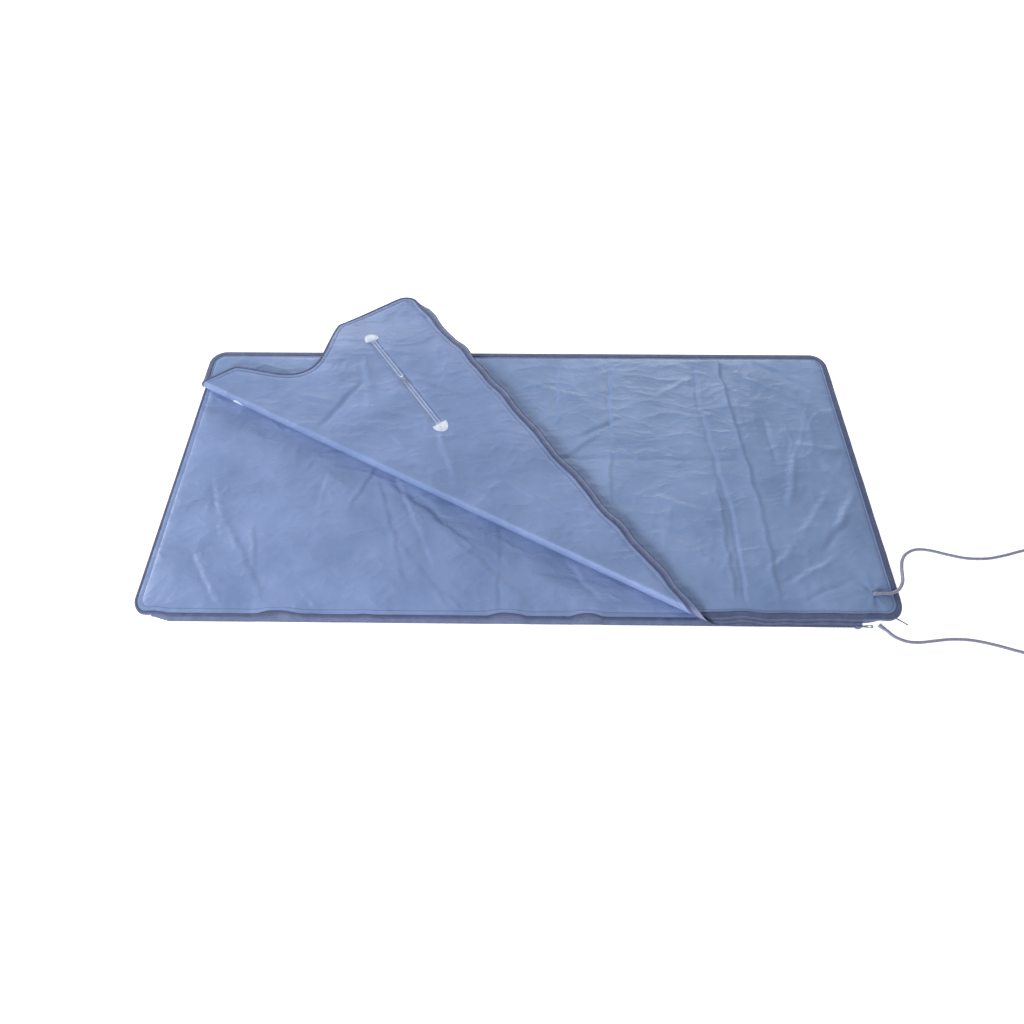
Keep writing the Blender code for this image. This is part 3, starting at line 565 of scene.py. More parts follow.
def swept(sections, closed):
    """A closed bmesh through sections, each a closed loop of the same number of points."""
    made = bmesh.new()
    rows = [[made.verts.new(point) for point in section] for section in sections]
    for first, second in zip(rows, rows[1:] + rows[:1] if closed else rows[1:]):
        bridged(made, first, second)
    if not closed:
        made.faces.new(rows[0][::-1])
        made.faces.new(rows[-1])
    bmesh.ops.recalc_face_normals(made, faces=made.faces)
    return made


def as_piece(name, made, materials, body):
    """Turn a bmesh into a smooth object that rides on a body, or on none if no body is given."""
    mesh = bpy.data.meshes.new(name)
    made.to_mesh(mesh)
    made.free()
    for material in materials:
        mesh.materials.append(material)
    mesh.shade_smooth()
    mesh.set_sharp_from_angle(angle=math.radians(50))
    piece = in_scene(name, mesh)
    if body:
        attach(piece, body)
    return piece


# %% [markdown]
# ## The bottom panel
# The lower panel lies flat with its lining up, and only its near head corner shows. Its near
# edge lifts in low waves, because the zip's tape is a little shorter than the cloth it is
# sewn to. Its underside stays on the floor.

# %% Bottom panel heights
BOTTOM_EDGE_SEED = 41.0
MOST_FOLD = 0.0017               # folds of the linings rise no higher, or the panels would meet
CABLE_PITCH = 0.0733             # between two rows of the heating cable
FIRST_CABLE_ROW = 0.08           # from the near edge
ABOVE_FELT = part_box("bottom_felt")[1].z + 0.0010


def near_edge_wave(x, seed):
    """How far the cloth rises along the near edge, in metres."""
    wave = noise(x / 0.085, x * 0 + 0.5, seed) + 0.5 * noise(x / 0.037, x * 0 + 3.5, seed)
    return 0.0050 * np.clip(wave, 0, 1)


def sway(points, seed, reach):
    """Draw the near edge in and out a little, in waves, as its zip tape holds it."""
    points = np.array(points, float)
    near = np.maximum(points[:, 1] + WIDTH / 2, 0)
    wave = noise(points[:, 0] / 0.080, points[:, 0] * 0 + 0.5, seed)
    points[:, 1] += reach * wave * np.exp(-near / 0.035)
    return points


def bottom_sway(points):
    """The bottom's near edge is only ever drawn inwards."""
    drawn = sway(points, BOTTOM_EDGE_SEED, 0.014)
    drawn[:, 1] = np.maximum(drawn[:, 1], points[:, 1])
    return drawn


def moved(made, change):
    """Put every point of a bmesh where a function of all points says."""
    for vert, place in zip(made.verts, change(np.array([vert.co for vert in made.verts]))):
        vert.co = place
    return made


def edge_travel(x, y):
    """A coordinate that runs along whichever side is nearest, for gathers at the seams."""
    beside_end = (LENGTH / 2 - np.abs(x)) < (WIDTH / 2 - np.abs(y))
    return np.where(beside_end, y + 3.0, x)


# Each pressed fold: its two ends, its width, its height (a dent if negative) and a seed.
BOTTOM_CREASES = [
    ((-0.035, -0.40), (-0.035, 0.10), 0.0040, -0.0013, 1.0),
    ((-0.37, 0.02), (-0.43, -0.12), 0.0050, 0.0020, 2.0),
    ((-0.36, -0.03), (-0.26, -0.34), 0.0060, 0.0018, 3.0),
    ((-0.33, 0.01), (-0.20, -0.28), 0.0055, -0.0016, 4.0),
    ((-0.74, -0.14), (-0.60, -0.36), 0.0065, 0.0020, 5.0),
    ((-0.80, -0.02), (-0.74, -0.20), 0.0060, -0.0014, 6.0),
    ((-0.66, -0.16), (-0.63, -0.30), 0.0050, 0.0014, 7.0),
    ((-0.30, -0.20), (-0.14, -0.40), 0.0060, 0.0016, 8.0),
    ((-0.55, 0.06), (-0.34, 0.05), 0.0070, 0.0012, 9.0),
    ((0.05, -0.30), (0.24, -0.33), 0.0060, 0.0014, 10.0),
    ((-0.50, 0.01), (-0.51, -0.12), 0.0045, -0.0012, 11.0),
    ((-0.36, -0.02), (-0.08, -0.24), 0.0080, 0.0022, 12.0),
    ((-0.28, -0.06), (-0.02, -0.28), 0.0075, -0.0018, 13.0),
    ((-0.22, -0.14), (0.02, -0.36), 0.0070, 0.0016, 14.0),
    ((-0.80, -0.24), (-0.70, -0.39), 0.0050, -0.0020, 15.0),
    ((-0.52, -0.34), (-0.46, -0.40), 0.0040, -0.0022, 16.0),
    ((-0.18, -0.34), (-0.10, -0.40), 0.0040, 0.0022, 17.0),
    ((0.12, -0.26), (0.20, -0.36), 0.0060, -0.0018, 18.0)]


def bottom_top(x, y, inset):
    """The lining's height: swells, faint rows of cable below it, and pressed folds."""
    depth = smooth_step(inset, BINDING - 0.004, 0.05)
    height = THICKNESS / 2 + padding(inset, THICKNESS / 2 + 0.0002)
    rows = np.cos((y + WIDTH / 2 - FIRST_CABLE_ROW) / CABLE_PITCH * 2 * np.pi)
    folds = 0.0005 * rows + 1.7 * crumple(x, y, 21.0, 0.10, 0.5) - 0.0006
    folds = creased(folds, x, y, BOTTOM_CREASES)
    height = height + depth * limited(folds, MOST_FOLD)
    height = height + pucker(edge_travel(x, y), inset, 31.0, 0.0012)
    near = np.maximum(y + WIDTH / 2, 0)
    height = np.maximum(height, ABOVE_FELT * smooth_step(inset, 0.02, 0.04)) + seam(inset)
    return height + near_edge_wave(x, BOTTOM_EDGE_SEED) * np.exp(-near / 0.022)


def bottom_underside(x, y, inset):
    """The underside rests on the floor, a little above it where the binding is under it."""
    return 0.0012 - 0.0004 * smooth_step(inset, BINDING, BINDING + 0.004) + x * 0


# %% Bottom panel
RINGS = (0.004, 0.0075, 0.0110, 0.0145, 0.0169, 0.0193, 0.0225, 0.0270, 0.032)
FINE = 0.0056                    # space between points where creases show


def uncovered(points):
    """Points of the bottom that the turned-back corner leaves open to view."""
    return OUT.x * (points[:, 0] - HINGE.x) + OUT.y * (points[:, 1] - HINGE.y) > -0.06


def covered(points):
    return ~uncovered(points)


def everywhere(points):
    return np.ones(len(points), bool)


made = padded_panel(bottom_outline, (RINGS, [(FINE, uncovered), (0.013, covered)], bottom_top),
                    ((0.010, 0.020), [(0.022, everywhere)], bottom_underside))
bottom_quilt = as_piece("bottom_quilt", moved(made, bottom_sway), [inner_nylon, outer_nylon],
                        "root")
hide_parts("bottom_shell", "bottom_lining", "bottom_wadding")
print("bottom quilt", len(bottom_quilt.data.polygons), "faces")

# %% [markdown]
# ## Edge binding
# The binding is one tape folded over the panel's edge and sewn through. It is swept as a
# C-shaped section round the outline, with each leg laid on the quilt's own height there, so
# tape and quilt ripple together.

# %% Binding sections
TAPE = 0.0009                    # thickness of the binding tape


def binding_sections(line, top, under, over_leg, under_leg):
    """The C-shaped section at each point of a line, with a leg over and a leg under."""
    normals = inwards(line)
    over, below, within = [], [], []
    for share, lift in ((1.0, 0.0001), (0.95, TAPE), (0.86, TAPE * 0.75), (0.60, TAPE * 1.25),
                        (0.32, TAPE), (0.10, TAPE * 0.7)):
        for leg, surface, sign, found in ((over_leg, top, 1, over),
                                          (under_leg, under, -1, below)):
            inset = leg * share if share > 0.2 else 0.0012
            x, y = (line + normals * inset).T
            reach = np.full(len(x), inset)
            found.append(np.stack([x, y, surface(x, y, reach) + sign * lift], axis=1))
    x, y = line.T
    sides = [np.stack([x, y, over[-1][:, 2] * share + below[-1][:, 2] * (1 - share)], axis=1)
             for share in (0.72, 0.28)]
    for inset, share in ((under_leg - 0.0016, -1), (0.0030, -1), (0.0030, 1),
                         (over_leg - 0.0016, 1)):
        x, y = (line + normals * inset).T
        reach = np.full(len(x), inset)
        surface = top(x, y, reach) - 0.0007 if share > 0 else under(x, y, reach) + 0.0005
        within.append(np.stack([x, y, surface], axis=1))
    loops = over + sides + below[::-1] + within
    return [[Vector(loop[i]) for loop in loops] for i in range(len(line))]


# %% Bottom binding
def under_binding(x, y, inset):
    """The binding's lower leg pulls the cloth down a touch further."""
    return bottom_underside(x, y, inset) - 0.0003


made = swept(binding_sections(bottom_outline, bottom_top, under_binding, BINDING, BINDING),
             closed=True)
bottom_binding = as_piece("bottom_edge_binding", moved(made, bottom_sway), [binding_tape],
                          "root")
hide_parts("bottom_binding")
print("bottom binding", len(bottom_binding.data.polygons), "faces")

# %% [markdown]
# ## The cover
# The cover is modelled flat too, as it lies when the blanket is closed. Its corner is then
# wrapped round a half roll along the fold and laid back. What stays, the narrow strip that
# bends, and what turns are three pieces cut from the same cloth, so their edges meet.

# %% Fold
COVER_SWAY_SEED = 143.0
DROOP = 0.022                    # how far the turned-back corner hangs beyond the far edge


def past_fold(x, y):
    """Flat distance beyond the line where the roll begins."""
    return (x - HINGE.x) * OUT.x + (y - HINGE.y) * OUT.y + ROLL_LENGTH / 2


def near_fold(x, y):
    """1 on the roll, fading to 0 a little way to either side of it."""
    past = past_fold(x, y)
    return 1 - smooth_step(np.abs(past - ROLL_LENGTH / 2), ROLL_LENGTH / 2 + 0.002,
                           ROLL_LENGTH / 2 + 0.030)


def wrap(points):
    """Where points of the flat cover lie once its corner is turned back."""
    points = np.asarray(points, float)
    held = near_fold(points[:, 0], points[:, 1])[:, None]
    points = points * held + sway(points, COVER_SWAY_SEED, 0.0085) * (1 - held)
    past = past_fold(points[:, 0], points[:, 1])
    angle = np.clip(past / ROLL_RADIUS, 0, np.pi)
    radius = ROLL_RADIUS - (points[:, 2] - COVER_MIDDLE)
    outward = np.array(OUT)
    bulge = ROLL_FLATNESS * radius * np.sin(angle)
    rolled = points - outward * past[:, None] + outward * bulge[:, None]
    rolled[:, 2] = HINGE.z - radius * np.cos(angle)
    matrix = np.array(HALF_TURN)
    turned = points @ matrix[:3, :3].T + matrix[:3, 3]
    placed = np.where((past <= 0)[:, None], points, rolled)
    return np.where((past >= ROLL_LENGTH)[:, None], turned, placed)


def settle(points):
    """The turned-back corner hangs over the far edge and droops towards the floor."""
    points = points.copy()
    points[:, 2] -= DROOP * smooth_step(points[:, 1], WIDTH / 2 - 0.02, WIDTH / 2 + 0.16)
    return points


# %% [markdown]
# The cover's two faces are heights over the flat panel. Its pressed folds are listed by
# their ends, so that each lies where a hand or a packed carton would have put it. The zip in
# each arm slit and the hole of the cord pull the cloth down or into small rays.

# %% Cover heights
COVER_EDGE_SEED = 57.0
far_tape_low, far_tape_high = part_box("far_arm_zip_tape")
ARM_FIRST, ARM_LAST = far_tape_low.x, far_tape_high.x
FAR_ARM_Y = (far_tape_low.y + far_tape_high.y) / 2
near_tape = [HALF_TURN @ vert.co for vert in frame["nodes"]["near_arm_zip_tape"].data.vertices]
NEAR_ARM_Y = (min(v.y for v in near_tape) + max(v.y for v in near_tape)) / 2
CORD_HOLE = (LENGTH / 2 - 0.062, 0.061 - WIDTH / 2)

TOP_CREASES = [
    ((0.264, 0.385), (0.256, 0.09), 0.0045, -0.0022, 61.0),
    ((0.515, 0.375), (0.508, 0.19), 0.0040, -0.0018, 62.0),
    ((0.510, 0.215), (0.541, -0.12), 0.0045, -0.0020, 63.0),
    ((0.580, 0.400), (0.600, 0.10), 0.0055, 0.0024, 64.0),
    ((0.598, 0.130), (0.622, -0.14), 0.0050, 0.0021, 65.0),
    ((0.620, -0.120), (0.616, -0.37), 0.0060, 0.0017, 66.0),
    ((0.060, 0.035), (0.600, 0.030), 0.0060, -0.0011, 67.0),
    ((0.510, 0.200), (0.600, 0.130), 0.0060, 0.0019, 68.0),
    ((0.230, 0.120), (0.120, 0.030), 0.0060, 0.0018, 69.0),
    ((0.270, 0.110), (0.330, 0.000), 0.0055, -0.0017, 70.0),
    ((0.250, 0.060), (0.240, -0.13), 0.0050, 0.0018, 71.0),
    ((0.640, 0.330), (0.830, 0.210), 0.0080, 0.0024, 72.0),
    ((0.680, 0.380), (0.860, 0.260), 0.0080, -0.0020, 73.0),
    ((0.740, 0.090), (0.870, 0.060), 0.0100, 0.0034, 74.0),
    ((0.780, 0.040), (0.850, -0.040), 0.0080, -0.0024, 75.0),
    ((0.700, -0.200), (0.800, -0.060), 0.0070, 0.0016, 76.0),
    ((0.120, 0.380), (0.110, 0.18), 0.0060, -0.0014, 77.0),
    ((0.020, 0.300), (0.200, 0.240), 0.0070, 0.0014, 78.0),
    ((0.545, -0.080), (0.540, -0.385), 0.0036, -0.0024, 79.0),
    ((0.520, -0.040), (0.515, -0.370), 0.0042, 0.0016, 80.0),
    ((0.640, -0.330), (0.780, -0.250), 0.0060, 0.0024, 92.0),
    ((0.660, -0.370), (0.800, -0.310), 0.0055, -0.0020, 93.0),
    ((0.600, -0.300), (0.680, -0.220), 0.0065, 0.0020, 94.0),
    ((0.740, -0.240), (0.840, -0.140), 0.0080, -0.0024, 95.0),
    ((0.790, -0.180), (0.870, -0.060), 0.0090, 0.0028, 96.0),
    ((0.690, -0.120), (0.740, 0.060), 0.0090, 0.0022, 97.0),
    ((0.380, -0.200), (0.500, -0.280), 0.0060, 0.0018, 98.0),
    ((0.300, -0.160), (0.440, -0.200), 0.0070, -0.0016, 99.0),
    ((0.350, -0.080), (0.480, -0.130), 0.0070, 0.0018, 100.0),
    ((0.160, 0.100), (0.300, 0.170), 0.0060, -0.0018, 101.0),
    ((0.400, 0.250), (0.500, 0.320), 0.0070, 0.0016, 102.0),
    ((0.680, 0.180), (0.690, 0.020), 0.0070, -0.0018, 103.0)]
LINING_CREASES = [
    ((-0.385, -0.205), (-0.20, -0.150), 0.0070, 0.0022, 81.0),
    ((-0.380, -0.225), (-0.22, -0.300), 0.0065, 0.0020, 82.0),
    ((-0.775, -0.205), (-0.86, -0.120), 0.0060, 0.0018, 83.0),
    ((-0.720, -0.160), (-0.520, -0.080), 0.0080, 0.0024, 84.0),
    ((-0.640, -0.120), (-0.560, 0.060), 0.0080, -0.0020, 85.0),
    ((-0.560, -0.240), (-0.420, -0.330), 0.0070, 0.0018, 86.0),
    ((-0.300, -0.100), (-0.100, -0.200), 0.0080, 0.0022, 87.0),
    ((-0.500, -0.050), (-0.360, -0.110), 0.0070, 0.0022, 88.0),
    ((-0.150, -0.250), (0.060, -0.330), 0.0070, 0.0020, 89.0),
    ((-0.850, 0.180), (-0.790, 0.120), 0.0050, 0.0016, 90.0),
    ((-0.700, 0.060), (-0.600, -0.020), 0.0060, 0.0018, 91.0)]


def arm_groove(x, y):
    """How much an arm zip holds the quilt down along its slit: 1 in the middle."""
    along = smooth_step(x, ARM_FIRST - 0.020, ARM_FIRST) * (1 - smooth_step(x, ARM_LAST,
                                                                            ARM_LAST + 0.020))
    aside = np.minimum(np.abs(y - NEAR_ARM_Y), np.abs(y - FAR_ARM_Y))
    return along * (1 - smooth_step(aside, 0.0090, 0.0190))


def edge_wave(x, y):
    """The cover's near edge rises and falls, because it isn't zipped."""
    near = np.maximum(y + WIDTH / 2, 0)
    wave = 0.0034 * noise(x / 0.10, x * 0, COVER_EDGE_SEED)
    return wave * np.exp(-near / 0.040) * (1 - near_fold(x, y))


def cord_puckers(x, y):
    """Folds that radiate from the hole that the cover's cord comes out of."""
    away = np.hypot(x - CORD_HOLE[0], y - CORD_HOLE[1])
    turn = np.arctan2(y - CORD_HOLE[1], x - CORD_HOLE[0])
    rays = np.cos(turn * 7 + 0.8) * 0.6 + np.cos(turn * 4 + 2.0) * 0.5
    return 0.0034 * rays * smooth_step(away, 0.004, 0.020) * np.exp(-away / 0.040)


def cover_top(x, y, inset):
    """The outer nylon's height on the flat cover."""
    depth = smooth_step(inset, BINDING - 0.004, 0.05) * (1 - 0.85 * near_fold(x, y))
    half = padding(inset, 0.0072, 0.0046)
    half = half + (np.minimum(half, 0.0058) - half) * near_fold(x, y)
    folds = 1.25 * crumple(x, y, 51.0, 0.115, 1.1) + cord_puckers(x, y)
    folds = creased(folds, x, y, TOP_CREASES)
    height = COVER_MIDDLE + half + depth * folds + seam(inset) * (1 - near_fold(x, y))
    height = height + pucker(edge_travel(x, y), inset, 55.0, 0.0010) * (1 - near_fold(x, y))
    return height - 0.0020 * arm_groove(x, y) + edge_wave(x, y)


def cover_lining(x, y, inset):
    """The lining's height on the flat cover: calm where it lies inside, creased on the flap."""
    shown = smooth_step(past_fold(x, y), -0.02, 0.02)
    depth = smooth_step(inset, BINDING - 0.004, 0.05) * (1 - 0.75 * near_fold(x, y))
    half = padding(inset, 0.0070, 0.0046)
    folds = 2.0 * crumple(x, y, 71.0, 0.095, 2.2)
    folds = creased(folds, x, y, LINING_CREASES)
    folds = limited(folds - 0.0006, MOST_FOLD) * (0.15 + 1.05 * shown)
    folds = folds * (1 - 0.9 * arm_groove(x, y))
    height = COVER_MIDDLE - half - depth * folds - seam(inset) * (1 - near_fold(x, y))
    height = height - pucker(edge_travel(x, y), inset, 58.0, 0.0012) * (1 - near_fold(x, y))
    return height + 0.0040 * arm_groove(x, y) + edge_wave(x, y)


# %% [markdown]
# A closed piece is cut along lines that run with the roll, bent, then cut level just below and
# just above the hinge's axis. The lower cut is where the fixed part ends, the upper one where
# the turned part starts, and the strip between them is a piece of its own on no body.

# %% Cutting at the fold
def slice_faces(made, faces, point, normal):
    """Cut some faces along a plane, and leave all others whole."""
    geometry = set(faces)
    for face in faces:
        geometry.update(face.verts)
        geometry.update(face.edges)
    bmesh.ops.bisect_plane(made, geom=list(geometry), dist=1e-7, plane_co=point, plane_no=normal)


def split_at_fold(name, made, materials, steps=12):
    """Bend a flat closed piece of the cover round the fold: returns its three pieces."""
    zone = made.faces.layers.int.new("zone")
    for step in range(steps + 1):
        flat = ROLL_LENGTH * (step / steps - 0.5)
        place = HINGE + OUT * flat
        beside = [face for face in made.faces
                  if abs((face.calc_center_median() - place).dot(OUT)) < 0.04]
        slice_faces(made, beside, place, OUT)
    for face in made.faces:
        centre = face.calc_center_median()
        past = past_fold(centre.x, centre.y)
        face[zone] = 0 if past < 0 else (2 if past > ROLL_LENGTH else 1)
    moved(made, wrap)
    for level in (HINGE.z - BAND, HINGE.z + BAND):
        rolled = [face for face in made.faces if face[zone] == 1]
        slice_faces(made, rolled, Vector((0, 0, level)), Vector((0, 0, 1)))
    for face in made.faces:
        if face[zone] == 1:
            height = face.calc_center_median().z - HINGE.z
            face[zone] = 0 if height < -BAND else (2 if height > BAND else 1)
    pieces = []
    for part, (prefix, body) in enumerate((("cover", "root"), ("fold", None),
                                           ("flap", "cover_flap"))):
        own = made.copy()
        own_zone = own.faces.layers.int.get("zone")
        others = [face for face in own.faces if face[own_zone] != part]
        bmesh.ops.delete(own, geom=others, context="FACES")
        if not own.faces:
            own.free()
            continue
        border = [edge for edge in own.edges if edge.is_boundary]
        if border:
            caps = bmesh.ops.holes_fill(own, edges=border, sides=0)["faces"]
            bmesh.ops.triangulate(own, faces=caps)
        if prefix == "flap":
            moved(own, settle)
        bmesh.ops.recalc_face_normals(own, faces=own.faces)
        piece = as_piece(f"{prefix}_{name}", own, materials, body)
        if prefix == "fold":
            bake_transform(piece)
        pieces.append(piece)
    made.free()
    print(name, [len(piece.data.polygons) for piece in pieces])
    return pieces


# %% [markdown]
# The cover's quilt and binding are made just as the bottom's are, with fine points on the
# face that shows: the outer nylon where it stays, the lining where it is turned over.

# %% Cover quilt
def stays(points):
    """Points of the flat cover that the turned-back corner leaves where they are."""
    return past_fold(points[:, 0], points[:, 1]) < 0.01


def turns(points):
    return ~stays(points)


made = padded_panel(cover_outline, (RINGS, [(FINE, stays), (0.0085, turns)], cover_top),
                    (RINGS, [(FINE, turns), (0.014, stays)], cover_lining))
cover_quilt, fold_quilt, flap_quilt = split_at_fold("quilt", made, [outer_nylon, inner_nylon])
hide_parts("cover_shell", "cover_lining", "cover_wadding")
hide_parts("fold_shell", "fold_lining", "fold_wadding")
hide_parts("flap_shell", "flap_lining", "flap_wadding", "flap_felt",
            "flap_heating_cable")

# %% Cover binding
made = swept(binding_sections(cover_outline, cover_top, cover_lining, COVER_LEG, BINDING),
             closed=True)
cover_binding, fold_binding, flap_binding = split_at_fold("edge_binding", made, [binding_tape])
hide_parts("cover_binding")
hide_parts("fold_binding_head", "fold_binding_near")
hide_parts("flap_binding")

# %% [markdown]
# ## Cords
# Each panel has its own lead. A lead is one smooth curve through points chosen along its
# way: out of its sleeve, down to the floor, along it, then wound into a neat coil for
# storage, with its connector beside the coil. The coil is a loop that computes its turns.

# %% Cord routes
CORD_DIAMETER = 0.0075
ON_FLOOR = CORD_DIAMETER / 2 + 0.0003
CORNER = Vector((LENGTH / 2, -WIDTH / 2, 0.0))
COIL_RADIUS = 0.041
PLUG_LENGTH = 0.040
COVER_ROUTE = [
    (-0.025, 0.062, 0.991), (-0.011, 0.067, 0.985), (0.002, 0.076, 0.972),
    (0.015, 0.094, 0.892), (0.025, 0.117, 0.661), (0.035, 0.140, 0.368),
    (0.048, 0.164, 0.122), (0.066, 0.183, 0.0), (0.092, 0.194, 0.0), (0.125, 0.192, 0.0),
    (0.165, 0.181, 0.0), (0.210, 0.171, 0.0), (0.260, 0.171, 0.0), (0.305, 0.180, 0.0),
    (0.345, 0.191, 0.0), (0.382, 0.1982, 0.0)]
BOTTOM_ROUTE = [
    (-0.028, -0.029, 0.0), (-0.013, -0.038, 0.0), (0.006, -0.0435, 0.0),
    (0.032, -0.044, 0.0), (0.065, -0.040, 0.0), (0.105, -0.036, 0.0),
    (0.150, -0.038, 0.0), (0.200, -0.049, 0.0), (0.250, -0.064, 0.0),
    (0.296, -0.073, 0.0)]


PLUG_LIFT = 0.0071               # height of the connector's own axis over the floor
COIL_STEP = 15                   # degrees between the points of a turn


def coil_points(centre, plug_turn):
    """The coil: an outer and an inner turn, a last part nested on both, then the plug."""
    outer, inner = COIL_RADIUS + 0.0037, COIL_RADIUS - 0.0037
    away = Vector((math.cos(plug_turn), math.sin(plug_turn), 0))
    beside = Vector((-away.y, away.x, 0))
    plug_base = (centre + away * (COIL_RADIUS + CORD_DIAMETER + PLUG_LIFT)
                 - beside * PLUG_LENGTH / 2)
    plug_base.z = PLUG_LIFT
    from_centre = plug_base - centre
    reach = math.hypot(from_centre.x, from_centre.y)
    last = round(math.degrees(math.atan2(from_centre.y, from_centre.x))) + 90 + 1080
    level = plug_base.z - ON_FLOOR
    stages = [(0, outer, 0.0), (300, outer, 0.0), (350, inner, 0.0), (640, inner, 0.0),
              (700, COIL_RADIUS, 0.0066), (last - 190, COIL_RADIUS, 0.0066),
              (last - 160, outer, 0.0077), (last - 130, outer + 0.0038, 0.0068),
              (last - 80, reach - 0.0045, 0.0045), (last - 30, reach, level),
              (last, reach, level)]
    degrees, radii, lifts = zip(*stages)
    points = []
    for turned in list(range(0, last - 8, COIL_STEP)) + [last]:
        radius = float(np.interp(turned, degrees, radii))
        lift = float(np.interp(turned, degrees, lifts))
        angle = math.radians(turned - 90)
        points.append(centre + Vector((radius * math.cos(angle), radius * math.sin(angle),
                                       ON_FLOOR + lift)))
    return points, beside


def cord_points(route, exit_point, centre, plug_turn):
    """All points of one lead, from the tip of its sleeve to its plug.

    A route's points are (beyond the foot edge, in from the near edge, share of the rise).
    """
    rise = exit_point.z - ON_FLOOR
    listed = [Vector((CORNER.x + out, CORNER.y + inwards_by, ON_FLOOR + rise * share))
              for out, inwards_by, share in route]
    heading = listed[0] - exit_point
    heading.z = 0
    heading.normalize()
    start = exit_point + heading * 0.0155
    coil, beside = coil_points(centre, plug_turn)
    return [start, start + heading * CORD_DIAMETER] + listed + coil, heading, beside


def smooth_line(points, steps=4):
    """A Catmull-Rom curve through the points, with a few steps between each two."""
    padded = [2 * points[0] - points[1]] + points + [2 * points[-1] - points[-2]]
    fine = []
    for before, start, end, after in zip(padded, padded[1:], padded[2:], padded[3:]):
        for step in range(steps):
            t = step / steps
            fine.append(0.5 * (2 * start + (end - before) * t
                               + (2 * before - 5 * start + 4 * end - after) * t ** 2
                               + (3 * start - before - 3 * end + after) * t ** 3))
    return fine + [points[-1]]


def path_length(points):
    """The length of a line of points, in metres."""
    return sum((b - a).length for a, b in zip(points, points[1:]))


# %% Turned pieces
def turned_piece(name, profile, place, materials, steps=24):
    """A profile of (radius, height) points turned about its own axis, top to bottom."""
    made = bmesh.new()
    rings = []
    for radius, height in profile:
        if radius == 0:
            rings.append([made.verts.new((0, 0, height))])
        else:
            rings.append([made.verts.new((radius * math.cos(2 * math.pi * i / steps),
                                          radius * math.sin(2 * math.pi * i / steps), height))
                          for i in range(steps)])
    for upper_ring, lower_ring in zip(rings, rings[1:]):
        for i in range(steps):
            corners = [ring[k % steps % len(ring)] for ring, k in
                       ((upper_ring, i), (lower_ring, i), (lower_ring, i + 1),
                        (upper_ring, i + 1))]
            made.faces.new(list(dict.fromkeys(corners)))
    bmesh.ops.recalc_face_normals(made, faces=made.faces)
    made.transform(place)
    return as_piece(name, made, materials, "root")


def towards(start, direction):
    """A matrix that puts a shape's own +Z along a direction."""
    return Matrix.Translation(start) @ direction.to_track_quat("Z", "Y").to_matrix().to_4x4()


# %% Cords
PLUG_PROFILE = [
    (0.0, 0.0400), (0.0036, 0.0400), (0.0042, 0.0394), (0.0042, 0.0300), (0.0049, 0.0292),
    (0.0049, 0.0282), (0.0060, 0.0280), (0.0068, 0.0270), (0.0068, 0.0235), (0.0063, 0.0230),
    (0.0068, 0.0225), (0.0068, 0.0190), (0.0063, 0.0185), (0.0068, 0.0180), (0.0068, 0.0110),
    (0.0064, 0.0090), (0.0052, 0.0050), (0.0046, 0.0010), (0.0044, 0.0), (0.0, 0.0)]


def make_cord(prefix, route, exit_point, coil_at, plug_turn):
    """The sleeve, the lead with its coil, the ties and the connector of one panel."""
    centre = Vector((CORNER.x + coil_at[0], CORNER.y + coil_at[1], 0.0))
    points, heading, beside = cord_points(route, exit_point, centre, plug_turn)
    line = smooth_line(points)
    curve = bpy.data.curves.new(f"{prefix}_lead", "CURVE")
    curve.dimensions = "3D"
    curve.bevel_depth = CORD_DIAMETER / 2
    curve.bevel_resolution = 4
    curve.use_fill_caps = True
    spline = curve.splines.new("POLY")
    spline.points.add(len(line) - 1)
    for spot, point in zip(spline.points, line):
        spot.co = (*point, 1)
    spline.use_smooth = True
    curve.materials.append(cord_rubber)
    lead = in_scene(f"{prefix}_lead", curve)
    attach(lead, "root")
    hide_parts(f"{prefix}_cord", f"{prefix}_cord_coil")

    # The sleeve: four ribs, each a little wider than the one before, on a plain foot.
    ribs = [(0.0, 0.0160), (0.0041, 0.0160), (0.0043, 0.0150)]
    for rib in range(4):
        low = 0.0132 - rib * 0.0032
        ribs += [(0.0044 + rib * 0.0002, low), (0.0040 + rib * 0.0002, low - 0.0006),
                 (0.0041 + rib * 0.0002, low - 0.0014), (0.0046 + rib * 0.0002, low - 0.0020)]
    ribs += [(0.0052, 0.0012), (0.0052, 0.0), (0.0, 0.0)]
    sleeve = turned_piece(f"{prefix}_lead_sleeve", ribs, towards(exit_point, heading),
                          [cord_rubber])
    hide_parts(f"{prefix}_cord_sleeve")

    plug = turned_piece(f"{prefix}_lead_connector", PLUG_PROFILE, towards(points[-1], beside),
                        [black_plastic])
    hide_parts(f"{prefix}_cord_plug")

    ties = [coil_tie(f"{prefix}_coil_tie_{number}", centre, math.radians(turned))
            for number, turned in ((1, 100), (2, 215))]
    print(prefix, "lead", round(path_length(line), 3), "m")


TIE_STEPS = 24


def coil_tie(name, centre, turned):
    """A flat tie round all the strands of the coil at one place."""
    out = Vector((math.cos(turned), math.sin(turned), 0))
    round_coil = Vector((-out.y, out.x, 0))
    sections = []
    for step in range(TIE_STEPS):
        angle = 2 * math.pi * step / TIE_STEPS
        across, up = math.cos(angle), math.sin(angle)
        section = []
        for wide, grow in ((-1, 0.0), (-1, 0.0009), (1, 0.0009), (1, 0.0)):
            reach = 0.0083 + grow
            squared = (abs(across) ** 4 + abs(up) ** 4) ** -0.25
            point = (centre + out * (COIL_RADIUS + across * squared * reach)
                     + round_coil * (0.0035 * wide))
            point.z = max(0.0, 0.0079 + up * squared * (0.0074 + grow))
            section.append(point)
        sections.append(section)
    return as_piece(name, swept(sections, closed=True), [binding_tape], "root")


